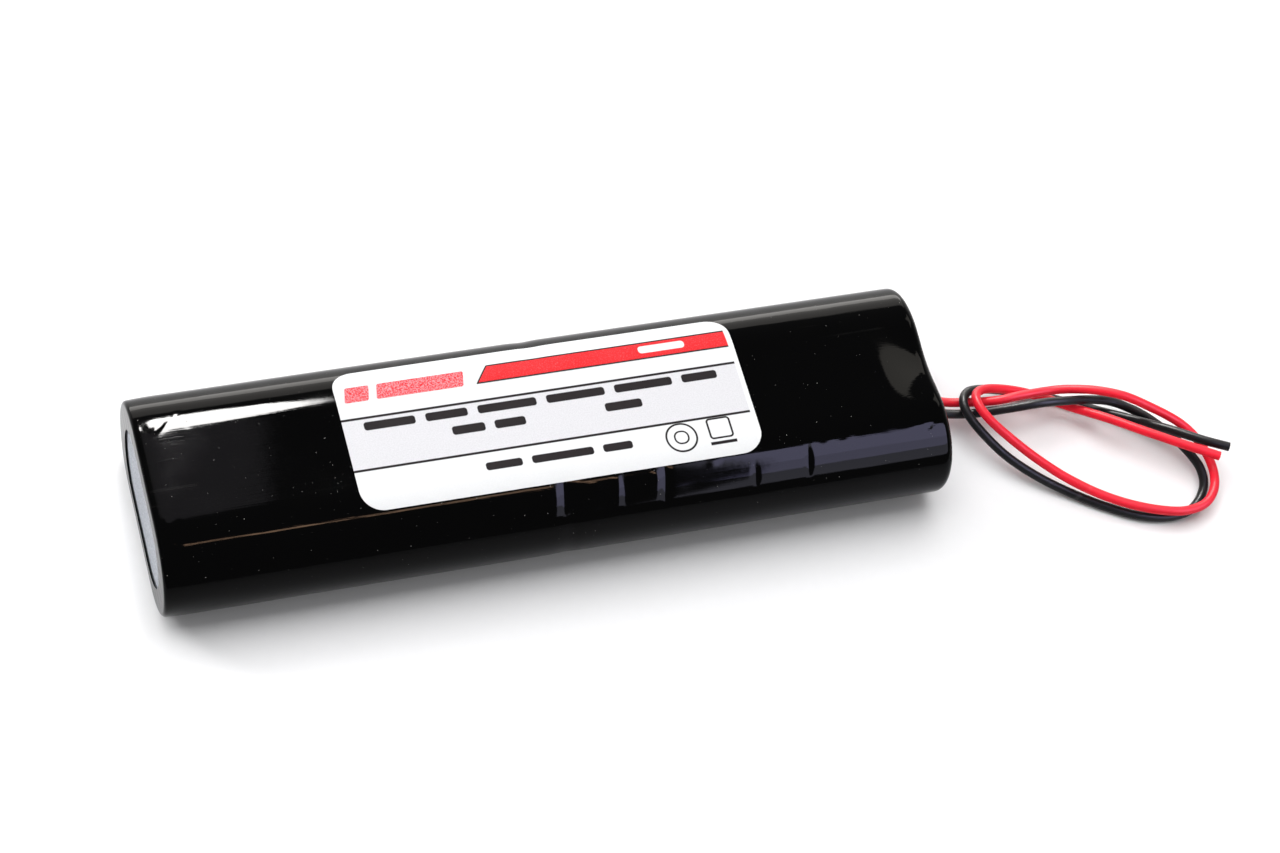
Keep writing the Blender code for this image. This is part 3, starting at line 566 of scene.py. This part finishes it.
def make_lights():
    """Two wide lights, a strip and panels that only show in reflections, and a pale room."""
    studio = bpy.context.scene.pack_studio
    soft_box("overhead", (-60, 330, 1300), -14, 1500, 1200, studio.overhead, gloss=False)
    soft_box("side", (-950, 800, 620), None, 500, 400, studio.side, gloss=False)
    for light in (
        ("strip", (88, 787, 905), -41, 184, 450, studio.strip, (1, 0.985, 0.97), "ELLIPSE"),
        ("panel_high", (860, -434, 1161), 20.5, 900, 504, 4.2, (0.60, 0.58, 1.0)),
        ("panel_middle", (870, -611, 1079), 29.5, 900, 926, 9.4, (0.58, 0.56, 1.0)),
        ("panel_low", (870, -789, 957), 39.5, 900, 1460, 6.5, (0.80, 0.80, 1.0)),
        ("slit", (190, -228, 1150), 11, 260, 28, 32.0, (1, 0.62, 0.40)),
        ("end_panel", (850, 625, 1000), None, 420, 420, 4.6, (1, 0.95, 0.86)),
        ("haze", (55, 610, 1120), -28, 210, 260, 1.7, (0.95, 0.9, 1.0), "ELLIPSE"),
        ("back_low", (500, 2400, 260), -84, 2600, 520, 9.5, (1, 0.97, 0.93)),
        ("back_high", (500, 2250, 900), -70, 2600, 760, 3.6, (1, 0.96, 0.91)),
    ):
        soft_box(*light, matt=False)
    world = bpy.data.worlds.new("room")
    bpy.context.scene.world = world
    world.use_nodes = True
    tree = world.node_tree
    way = put(tree, "SeparateXYZ", {0: put(tree, "TexCoord")["Generated"]})
    low = span(tree, way["Z"], 0.0, 0.50, 1.0, 0.0)
    behind = span(tree, way["Y"], 0.05, 0.85)
    glow = calc(tree, "MULTIPLY", calc(tree, "POWER", low, 1.5), behind)
    tint = blend(tree, glow, (studio.room,) * 3, (2.8, 2.73, 2.65))
    tree.links.new(tint, tree.nodes["Background"].inputs["Color"])
    bpy.context.scene.view_settings.view_transform = "Standard"


def make_floor():
    """A wide plain floor."""
    paint = bpy.context.scene.pack_studio.floor[:]
    other = [0.985 * part for part in paint]
    material = worn("floor paint", paint, other, 0.002, 0.00001, (0.30, 0.36), 0.05, specular=0.08)
    bm = bmesh.new()
    bmesh.ops.create_grid(bm, x_segments=8, y_segments=8, size=4.0)
    floor = new_piece("floor", bm, material)


def smooth_route(route, spacing):
    """Points about that far apart on a smooth curve through the route, given in millimetres."""
    stops = [Vector(stop) * MM for stop in route]
    points = [stops[0]]
    for k, (here, there) in enumerate(zip(stops, stops[1:])):
        before = stops[k - 1] if k else here - (there - here)
        after = stops[k + 2] if k + 2 < len(stops) else there + (there - here)
        run = (there - here).length
        out = (there - before) * (run / ((there - here).length + (here - before).length) / 3)
        back = (after - here) * (run / ((there - here).length + (after - there).length) / 3)
        steps = max(1, round(run / spacing))
        points += interpolate_bezier(here, here + out, there - back, there, steps + 1)[1:]
    return points


def insulation(name, colour, other, roughness):
    """Soft plastic: a slightly cloudy shade, a few scuffs and specks of dust."""
    material, tree, shader = new_material(name, specular=0.16)
    grain = use(tree, "Fine grain", Point=place(tree), Size=0.0005, Cloud=0.006)
    shade = span(tree, grain["Cloud"], 0.35, 0.65)
    scuffs = use(tree, "Hairlines", Point=place(tree, turn=(0.5, 0.9, 0.3)), Density=0.52)
    specks = use(tree, "Dust specks", Point=place(tree), Spacing=0.0016, Share=0.16, Radius=0.07)
    tone = blend(tree, shade, colour, other)
    pale = [0.35 + 0.5 * part for part in colour]
    marks = calc(tree, "MAXIMUM", calc(tree, "MULTIPLY", scuffs[0], 0.05),
                 calc(tree, "MULTIPLY", specks[0], 0.3))
    feed(shader, "Base Color", blend(tree, marks, tone, pale))
    rough = span(tree, grain["Cloud"], 0.3, 0.7, roughness, roughness + 0.08)
    feed(shader, "Roughness", calc(tree, "MULTIPLY_ADD", marks, 0.3, rough))
    bump(tree, shader, grain["Grain"], 0.000012)
    return material


def make_strands(name, end, along, material):
    """The cut ends of one lead's wires: a middle one and rings of others round it."""
    leads = bpy.context.scene.pack_leads
    pitch = 1.04 * leads.strand  # between the middles of neighbouring wires
    off_cut = 0.01 * MM  # how far they start from the lead's end
    bm = bmesh.new()
    spots = [(0.0, 0.0)]
    for ring in range(1, leads.rings + 1):
        for k in range(6 * ring):
            turned = math.tau * (k + 0.3 * ring) / (6 * ring)
            spots.append((ring * pitch * math.cos(turned), ring * pitch * math.sin(turned)))
    turn = along.to_track_quat("Z", "Y").to_matrix().to_4x4()
    for k, (across, up) in enumerate(spots):
        proud = (0.10 + 0.05 * math.sin(2.3 * k)) * MM
        made = bmesh.ops.create_circle(bm, cap_ends=True, segments=10, radius=leads.strand / 2)
        ring_faces = list({face for vert in made["verts"] for face in vert.link_faces})
        pulled = bmesh.ops.extrude_face_region(bm, geom=ring_faces)
        top = [item for item in pulled["geom"] if isinstance(item, bmesh.types.BMVert)]
        bmesh.ops.translate(bm, verts=top, vec=(0, 0, proud))
        every = list({*made["verts"], *top})
        place_here = Matrix.Translation(end) @ turn @ Matrix.Translation((across, up, off_cut))
        bmesh.ops.transform(bm, verts=every, matrix=place_here)
    bmesh.ops.recalc_face_normals(bm, faces=bm.faces)
    return new_piece(name, bm, material)


def make_leads():
    """The red and the black lead, looped once through each other, with the wires at their cut ends."""
    leads = bpy.context.scene.pack_leads
    tinned = worn("tinned wire", (0.62, 0.55, 0.47), (0.78, 0.74, 0.70), 0.0001, 0.000004,
                  (0.28, 0.45), 0.0006, metallic=1.0)
    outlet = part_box("shrink_sleeve")[1].x + 0.3 * MM
    for colour, side, route in (("red", 1, RED_ROUTE), ("black", -1, BLACK_ROUTE)):
        shade = getattr(leads, colour)[:]
        other = [part * (0.86 if colour == "red" else 1.7) for part in shade]
        material = insulation(colour + " insulation", shade, other, 0.38 if colour == "red" else 0.36)
        start = (outlet, side * leads.pitch / 2, leads.exit_height)
        points = smooth_route((Vector(start) / MM, *route), 0.6 * MM)
        data = bpy.data.curves.new(colour + "_wire", "CURVE")
        data.dimensions = "3D"
        data.bevel_depth = leads.diameter / 2
        data.bevel_resolution = 6
        data.use_fill_caps = True
        spline = data.splines.new("POLY")
        spline.points.add(len(points) - 1)
        for spot, point in zip(spline.points, points):
            spot.co = (*point, 1.0)
        spline.use_smooth = True
        data.materials.append(material)
        wire = new_object(colour + "_wire", data)
        own(wire, colour + "_insulation", colour + "_lead")
        along = (points[-1] - points[-2]).normalized()
        strands = make_strands(colour + "_wire_strands", points[-1], along, tinned)
        own(strands, "nickel")


def film_material():
    """Glossy black film with lengthwise draw lines, hairline scratches, smudges and dust."""
    film = bpy.context.scene.pack_film
    material, tree, shader = new_material("black film", specular=0.055)
    point = place(tree)
    draw = use(tree, "Fine grain", Point=place(tree, (0.02, 1, 1)), Size=0.00025, Cloud=0.004)
    smudge = use(tree, "Fine grain", Point=point, Size=0.0009, Cloud=0.012)
    dust = use(tree, "Dust specks", Point=point, Spacing=0.0012, Share=0.60, Radius=0.085)
    fine_dust = use(tree, "Dust specks", Point=point, Spacing=0.0007, Share=0.45, Radius=0.10)
    hairs = use(tree, "Hairlines", Point=point, Density=0.44)
    dots = calc(tree, "MAXIMUM", dust[0], calc(tree, "MULTIPLY", fine_dust[0], 0.5))
    marks = calc(tree, "MAXIMUM", calc(tree, "MULTIPLY", dots, 0.55),
                 calc(tree, "MULTIPLY", hairs[0], 0.006))
    feed(shader, "Base Color", blend(tree, marks, film.colour[:], (0.42, 0.41, 0.38)))
    base = span(tree, smudge["Cloud"], 0.35, 0.7, film.gloss - 0.015, film.gloss + 0.035)
    rough = calc(tree, "MULTIPLY_ADD", hairs[0], 0.010, base)
    feed(shader, "Roughness", calc(tree, "MULTIPLY_ADD", dots, 0.5, rough))
    lines = calc(tree, "MULTIPLY_ADD", draw["Grain"], 0.9,
                 calc(tree, "MULTIPLY", smudge["Grain"], 0.3))
    relief = calc(tree, "MULTIPLY_ADD", dots, 1.0, lines)
    bump(tree, shader, relief, 0.0000045)
    return material


def make_sleeve():
    """The shrink film: one tube drawn round the pack, folded over both ends to an oval opening."""
    film = bpy.context.scene.pack_film
    shape = FilmShape()
    half = shape.half_length
    left, right = shape.corners
    rim_steps, bend_steps = 9, 6
    columns = []
    for end, corner, opening in ((-1, left, LEFT_OPENING), (1, right, RIGHT_OPENING)):
        rim = [(end * half, corner, step / rim_steps, opening) for step in range(1, rim_steps + 1)]
        bend = []
        for step in range(bend_steps + 1):
            turn = math.pi / 2 * step / bend_steps
            bend.append((end * (half - corner + corner * math.sin(turn)),
                         corner * (1 - math.cos(turn)), 0.0, opening))
        columns.append(bend + rim)
    # The rows stand closer together where the film has its marks and bends.
    body = stations((-half + left, -46 * MM, 0.5 * MM), (-46 * MM, -6 * MM, 0.9 * MM),
                    (-6 * MM, 44 * MM, 0.36 * MM), (44 * MM, half - right, 0.55 * MM))
    profile = columns[0][::-1] + [(x, 0.0, 0.0, None) for x in body[1:-1]] + columns[1]
    rounds = stations((-shape.half_round, -shape.under, 1.6 * MM), (-shape.under, -20 * MM, 0.9 * MM),
                      (-20 * MM, -9 * MM, 0.33 * MM), (-9 * MM, 6 * MM, 0.9 * MM),
                      (6 * MM, 13 * MM, 0.4 * MM), (13 * MM, shape.under, 0.9 * MM),
                      (shape.under, shape.half_round, 1.6 * MM))
    bm = bmesh.new()
    bmesh.ops.create_grid(bm, x_segments=len(profile) - 1, y_segments=len(rounds) - 1, size=0.5)
    for vert in bm.verts:
        x, inset, share, opening = profile[round((vert.co.x + 0.5) * (len(profile) - 1))]
        around = rounds[round((vert.co.y + 0.5) * (len(rounds) - 1))]
        spot = shape.point(x, around, -inset)
        if share:
            y, z = shape.outline(around)
            hole_y = y * opening[0] * MM / (shape.row + shape.radius)
            reach = opening[1] if z > shape.radius else opening[2]
            hole_z = shape.radius + (z - shape.radius) * reach * MM / shape.radius
            ripple = RIPPLE * math.sin(around / RIPPLE_RUN) * share * (1 - 0.5 * share)
            spot.y += (hole_y - spot.y) * share
            spot.z += (hole_z - spot.z) * share
            spot.x += math.copysign(ripple, x) if x < 0 else ripple
        vert.co = spot
    bmesh.ops.remove_doubles(bm, verts=bm.verts, dist=1e-6)
    bmesh.ops.recalc_face_normals(bm, faces=bm.faces)
    bmesh.ops.solidify(bm, geom=bm.faces[:], thickness=film.wall)
    sleeve = new_piece("black_film_sleeve", bm, film_material(), sharp=math.radians(60))
    own(sleeve, "black_film", "shrink_sleeve")


def sticker_material():
    """White sticker print: a pale band between black lines, a red bar, and bars in place of words."""
    sticker = bpy.context.scene.pack_sticker
    material, tree, shader = new_material("sticker paper", specular=0.02)
    sheet = put(tree, "UVMap", uv_map="sheet")[0]
    across = SHEET_SPAN / MM
    spread = {0: sheet, 1: (across, across, 0), 2: (-across / 2, -across / 2, 0)}
    point = put(tree, "VectorMath", spread, operation="MULTIPLY_ADD")[0]

    def bar(left, right, low, high, **looks):
        centre = ((left + right) / 2, (low + high) / 2, 0)
        half = ((right - left) / 2, (high - low) / 2, 0)
        return use(tree, "Printed bar", Point=point, Centre=centre, Half=half, **looks)

    def join(masks):
        total = masks[0]
        for mask in masks[1:]:
            total = calc(tree, "MAXIMUM", total, mask)
        return total

    grain = use(tree, "Fine grain", Point=place(tree), Size=0.00022, Cloud=0.004)
    mottle = span(tree, grain["Grain"], 0.35, 0.65)
    paper = blend(tree, mottle, sticker.paper[:], [0.97 * part for part in sticker.paper])
    band = blend(tree, mottle, sticker.band[:], [0.90 * part for part in sticker.band])
    behind = bar(-40.0, 33.0, -4.62, 4.8, Round=0.05, Soft=0.04)
    colour = blend(tree, behind["Mask"], paper, band)

    speckle = span(tree, grain["Grain"], 0.52, 0.74, 0.0, 0.25)
    red = blend(tree, speckle, sticker.red_ink[:], (0.86, 0.22, 0.24))
    long_bar = bar(-9.2, 36.0, 8.05, 11.3, Round=0.05, Line=0.3, Slant=-0.7)
    end_trim = bar(-20.0, 32.9, 7.0, 12.5, Round=0.05)
    long_mask = calc(tree, "MULTIPLY", long_bar["Mask"], end_trim["Mask"])
    colour = blend(tree, long_mask, colour, red)
    faded = blend(tree, span(tree, grain["Grain"], 0.42, 0.60, 0.0, 0.75),
                  sticker.red_ink[:], (0.86, 0.36, 0.40))
    marks = [bar(-32.2, -28.2, 7.9, 10.9, Round=0.35, Slant=-0.2),
             bar(-26.9, -12.4, 7.9, 10.9, Round=0.35, Slant=-0.2)]
    colour = blend(tree, join([mark["Mask"] for mark in marks]), colour, faded)
    plate = bar(17.6, 25.6, 9.1, 10.55, Round=0.6)
    colour = blend(tree, plate["Mask"], colour, sticker.paper[:])

    inked = [bar(left, right, low, high, Round=0.5)["Mask"]
             for low, high, row in WORDS for left, right in row]
    inked += [bar(-40.0, 33.0, height - 0.22, height + 0.22, Round=0.02)["Mask"]
              for height in (4.8, -4.62)]
    inked.append(calc(tree, "MULTIPLY", long_bar["Outline"], end_trim["Mask"]))
    inked.append(bar(17.8, 22.9, -10.0, -5.0, Round=2.45, Line=0.34)["Outline"])
    inked.append(bar(19.2, 21.5, -8.6, -6.4, Round=1.0, Line=0.3)["Outline"])
    inked.append(bar(25.2, 29.0, -8.6, -5.0, Round=0.5, Line=0.34)["Outline"])
    inked.append(bar(24.9, 29.4, -9.75, -9.2, Round=0.05)["Mask"])
    ink = join(inked)
    colour = blend(tree, ink, colour, sticker.black_ink[:])
    feed(shader, "Base Color", colour)
    feed(shader, "Roughness", span(tree, grain["Cloud"], 0.3, 0.7, 0.45, 0.6))
    printed = calc(tree, "MULTIPLY_ADD", ink, 0.6, grain["Grain"])
    bump(tree, shader, printed, 0.000006)
    return material


def make_sticker():
    """The sticker: a round-cornered sheet, printed flat and laid over the top and both shoulders."""
    sticker = bpy.context.scene.pack_sticker
    shape = FilmShape()
    bm = bmesh.new()
    bmesh.ops.create_grid(bm, x_segments=1, y_segments=1, size=0.5)
    bmesh.ops.scale(bm, verts=bm.verts, vec=(sticker.length, sticker.width, 1))
    bmesh.ops.bevel(bm, geom=bm.verts[:], offset=sticker.corner, offset_type="OFFSET", segments=10,
                    profile=0.5, affect="VERTICES", material=-1)
    for axis, size, spacing in ((0, sticker.length, 1.5 * MM), (1, sticker.width, 0.4 * MM)):
        steps = round(size / spacing)
        for step in range(1, steps):
            cut = Vector((0, 0, 0))
            cut[axis] = size * (step / steps - 0.5)
            normal = Vector((0, 0, 0))
            normal[axis] = 1
            geom = bm.verts[:] + bm.edges[:] + bm.faces[:]
            bmesh.ops.bisect_plane(bm, geom=geom, plane_co=cut, plane_no=normal)
    layer = bm.loops.layers.uv.new("sheet")
    for vert in bm.verts:
        vert.co.y += sticker.shift
    for face in bm.faces:
        for loop in face.loops:
            spot = loop.vert.co / SHEET_SPAN
            loop[layer].uv = (spot.x + 0.5, spot.y + 0.5)
    for vert in bm.verts:
        vert.co = shape.point(vert.co.x, vert.co.y, sticker.thickness + 0.02 * MM)
    bmesh.ops.recalc_face_normals(bm, faces=bm.faces)
    if sum(face.normal.z for face in bm.faces) < 0:
        bmesh.ops.reverse_faces(bm, faces=bm.faces)
    bmesh.ops.solidify(bm, geom=bm.faces[:], thickness=sticker.thickness)
    sheet = new_piece("sticker", bm, sticker_material())
    own(sheet, "label_paper", "label")


def card_material():
    """Pressed grey-blue fibre card: short pale fibres on a mottled matt ground."""
    material, tree, shader = new_material("fibre card", roughness=0.85, specular=0.25)
    grain = use(tree, "Fine grain", Point=place(tree), Size=0.00035, Cloud=0.005)
    fibre = use(tree, "Hairlines", Point=place(tree, (2.5, 2.5, 2.5), (0.4, 1.1, 0.2)), Density=0.75)
    ground = blend(tree, span(tree, grain["Grain"], 0.3, 0.7), (0.26, 0.28, 0.315),
                   (0.46, 0.475, 0.51))
    colour = blend(tree, calc(tree, "MULTIPLY", fibre[0], 0.35), ground, (0.64, 0.65, 0.68))
    feed(shader, "Base Color", colour)
    feed(shader, "Roughness", span(tree, grain["Cloud"], 0.3, 0.7, 0.78, 0.92))
    height = calc(tree, "MULTIPLY_ADD", fibre[0], 0.6, grain["Grain"])
    bump(tree, shader, height, 0.00003)
    return material


def make_right_card():
    """The card at the lead end, pressed down a little with the film and slotted for the leads."""
    shape = FilmShape()
    low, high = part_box("right_end_card")
    leads = bpy.context.scene.pack_leads
    bm = bmesh.new()
    steps, inset, play = 120, 1.9 * MM, 0.4 * MM
    rim = [shape.point(high.x, 2 * shape.half_round * step / steps - shape.half_round, -inset)
           for step in range(steps)]
    clear = leads.diameter / 2 + play
    wide = leads.pitch / 2 + clear
    slot = [(-wide, -clear), (wide, -clear), (wide, clear), (-wide, clear)]
    edges = []
    for loop in (rim, [Vector((0, y, leads.exit_height + z)) for y, z in slot]):
        verts = [bm.verts.new((low.x, spot.y, spot.z)) for spot in loop]
        edges += [bm.edges.new((verts[k - 1], verts[k])) for k in range(len(verts))]
    bmesh.ops.triangle_fill(bm, use_beauty=True, use_dissolve=False, edges=edges)
    pulled = bmesh.ops.extrude_face_region(bm, geom=bm.faces[:])
    top = [item for item in pulled["geom"] if isinstance(item, bmesh.types.BMVert)]
    bmesh.ops.translate(bm, verts=top, vec=(high.x - low.x, 0, 0))
    bmesh.ops.recalc_face_normals(bm, faces=bm.faces)
    card = new_piece("lead_end_card", bm, bpy.data.materials["fibre card"])
    own(card, "grey_card", "right_end_card")


# ---- operators


class PACK_OT_studio(bpy.types.Operator):
    """Make the floor, the lights and the camera"""

    bl_idname = "pack.studio"
    bl_label = "Studio"

    def execute(self, context):
        make_camera()
        make_lights()
        make_floor()
        return {"FINISHED"}


class PACK_OT_leads(bpy.types.Operator):
    """Lay the red and the black lead, and cut their ends"""

    bl_idname = "pack.leads"
    bl_label = "Leads"

    def execute(self, context):
        make_leads()
        for colour in ("red", "black"):
            finish(bpy.data.materials[colour + " insulation"], colour + "_lead_inner")
        return {"FINISHED"}


class PACK_OT_sleeve(bpy.types.Operator):
    """Shrink the black film round the pack"""

    bl_idname = "pack.sleeve"
    bl_label = "Film sleeve"

    def execute(self, context):
        make_sleeve()
        return {"FINISHED"}


class PACK_OT_sticker(bpy.types.Operator):
    """Print the sticker and lay it on the film"""

    bl_idname = "pack.sticker"
    bl_label = "Sticker"

    def execute(self, context):
        make_sticker()
        return {"FINISHED"}


class PACK_OT_cards(bpy.types.Operator):
    """Finish the fibre cards at the ends and over the valleys"""

    bl_idname = "pack.cards"
    bl_label = "Cards"

    def execute(self, context):
        finish(card_material(), "left_end_card", "right_end_card", "upper_valley_card",
               "lower_valley_card")
        make_right_card()
        return {"FINISHED"}


def winding_material():
    """Foil and separator rolled up: fine dark and copper brown layers."""
    material, tree, shader = new_material("rolled foil", specular=0.4)
    point = place(tree)
    grain = use(tree, "Fine grain", Point=point, Size=0.0003, Cloud=0.004)
    inputs = {"Vector": point, "Scale": 900.0, "Distortion": 0.6, "Detail": 2.0}
    turns = put(tree, "TexWave", inputs, wave_type="RINGS", rings_direction="X")["Fac"]
    mix = calc(tree, "MULTIPLY_ADD", turns, 0.8, calc(tree, "MULTIPLY", grain["Grain"], 0.2))
    feed(shader, "Base Color", blend(tree, mix, (0.035, 0.035, 0.04), (0.28, 0.20, 0.13)))
    feed(shader, "Roughness", span(tree, grain["Cloud"], 0.3, 0.7, 0.4, 0.6))
    bump(tree, shader, turns, 0.00004)
    return material


class PACK_OT_cells(bpy.types.Operator):
    """Finish the four cells: cans, jackets, caps, seals and rolls"""

    bl_idname = "pack.cells"
    bl_label = "Cells"

    def execute(self, context):
        steel = worn("plated steel", (0.50, 0.50, 0.50), (0.62, 0.61, 0.59), 0.0002, 0.000006,
                     (0.24, 0.38), 0.006, (0.15, 1, 1), metallic=1.0)
        gasket = worn("seal plastic", (0.035, 0.035, 0.04), (0.06, 0.06, 0.065), 0.0003, 0.00001,
                      (0.45, 0.6), 0.004)
        paper = worn("washer paper", (0.72, 0.71, 0.66), (0.82, 0.81, 0.77), 0.0002, 0.00002,
                     (0.8, 0.95), 0.003, specular=0.2)
        jacket = worn("cell jacket", (0.06, 0.30, 0.16), (0.09, 0.38, 0.22), 0.0006, 0.000004,
                      (0.20, 0.30), 0.009)
        looks = {
            "can": steel, "positive_cap": steel, "vent_disc": steel, "centre_pin": steel,
            "jacket": jacket, "gasket": gasket, "washer": paper,
            "winding": winding_material(),
        }
        for cell in CELLS:
            for part, material in looks.items():
                finish(material, f"{cell}_cell_{part}")
        return {"FINISHED"}


class PACK_OT_strips(bpy.types.Operator):
    """Finish the nickel strips and tabs"""

    bl_idname = "pack.strips"
    bl_label = "Strips"

    def execute(self, context):
        nickel = worn("rolled nickel", (0.56, 0.53, 0.48), (0.70, 0.67, 0.62), 0.00018, 0.000006,
                      (0.26, 0.42), 0.003, (1, 0.12, 1), metallic=1.0)
        finish(nickel, "left_cell_link", "back_middle_link", "front_middle_link",
               "negative_end_tab", "positive_end_tab")
        return {"FINISHED"}


def board_material():
    """Green board with a faint glass weave and paler tracks."""
    material, tree, shader = new_material("board", roughness=0.35)
    point = place(tree)
    checks = put(tree, "TexChecker", {"Vector": point, "Scale": 1800.0})["Fac"]
    grain = use(tree, "Fine grain", Point=point, Size=0.0004, Cloud=0.005)
    weave = calc(tree, "MULTIPLY_ADD", checks, 0.4, calc(tree, "MULTIPLY", grain["Grain"], 0.6))
    green = blend(tree, weave, (0.006, 0.095, 0.035), (0.012, 0.15, 0.06))
    inputs = {"Vector": place(tree, shift=(0, 0.0004, 0)), "Scale": 160.0, "Mortar Size": 0.035,
              "Mortar Smooth": 0.1}
    tracks = calc(tree, "MULTIPLY", put(tree, "TexBrick", inputs)["Fac"], 0.55)
    feed(shader, "Base Color", blend(tree, tracks, green, (0.03, 0.26, 0.10)))
    feed(shader, "Roughness", span(tree, grain["Cloud"], 0.3, 0.7, 0.28, 0.42))
    bump(tree, shader, calc(tree, "ADD", weave, tracks), 0.00001)
    return material


class PACK_OT_board(bpy.types.Operator):
    """Finish the protection board and what stands on it"""

    bl_idname = "pack.board"
    bl_label = "Board"

    def execute(self, context):
        finish(board_material(), "protection_board")
        plastic = worn("moulded case", (0.018, 0.018, 0.02), (0.032, 0.032, 0.034), 0.00012,
                       0.000012, (0.4, 0.55), 0.002)
        alloy = worn("resistor alloy", (0.36, 0.31, 0.27), (0.48, 0.42, 0.37), 0.00015, 0.000008,
                     (0.3, 0.48), 0.002, (1, 0.2, 1), metallic=1.0)
        finish(plastic, "mosfet_1", "mosfet_2", "control_chip")
        finish(alloy, "current_sense_resistor")
        return {"FINISHED"}


class PACK_OT_tap_wires(bpy.types.Operator):
    """Finish the thin wires between the cells and the board"""

    bl_idname = "pack.tap_wires"
    bl_label = "Tap wires"

    def execute(self, context):
        material = insulation("yellow insulation", (0.74, 0.47, 0.03), (0.82, 0.56, 0.05), 0.34)
        finish(material, "left_tap_wire", "back_middle_tap_wire", "front_middle_tap_wire")
        return {"FINISHED"}


OPERATORS = (
    PACK_OT_studio,
    PACK_OT_leads,
    PACK_OT_sleeve,
    PACK_OT_sticker,
    PACK_OT_cards,
    PACK_OT_cells,
    PACK_OT_strips,
    PACK_OT_board,
    PACK_OT_tap_wires,
)
SETTINGS = (
    ("pack_film", FilmSettings),
    ("pack_sticker", StickerSettings),
    ("pack_leads", LeadSettings),
    ("pack_studio", StudioSettings),
)


class PACK_PT_panel(bpy.types.Panel):
    """Lists the pieces of the battery pack and their sizes"""

    bl_idname = "PACK_PT_panel"
    bl_label = "Battery Pack"
    bl_space_type = "VIEW_3D"
    bl_region_type = "UI"
    bl_category = "Battery Pack"

    def draw(self, context):
        for operator in OPERATORS:
            self.layout.operator(operator.bl_idname)
        for name, group in SETTINGS:
            box = self.layout.box()
            for setting in group.__annotations__:
                box.prop(getattr(context.scene, name), setting)


def register():
    for name, group in SETTINGS:
        bpy.utils.register_class(group)
        setattr(bpy.types.Scene, name, PointerProperty(type=group))
    for operator in OPERATORS:
        bpy.utils.register_class(operator)
    bpy.utils.register_class(PACK_PT_panel)


def unregister():
    bpy.utils.unregister_class(PACK_PT_panel)
    for operator in reversed(OPERATORS):
        bpy.utils.unregister_class(operator)
    for name, group in reversed(SETTINGS):
        delattr(bpy.types.Scene, name)
        bpy.utils.unregister_class(group)


def main():
    register()
    for operator in OPERATORS:
        getattr(bpy.ops.pack, operator.bl_idname.removeprefix("pack."))()


if __name__ == "__main__":
    main()
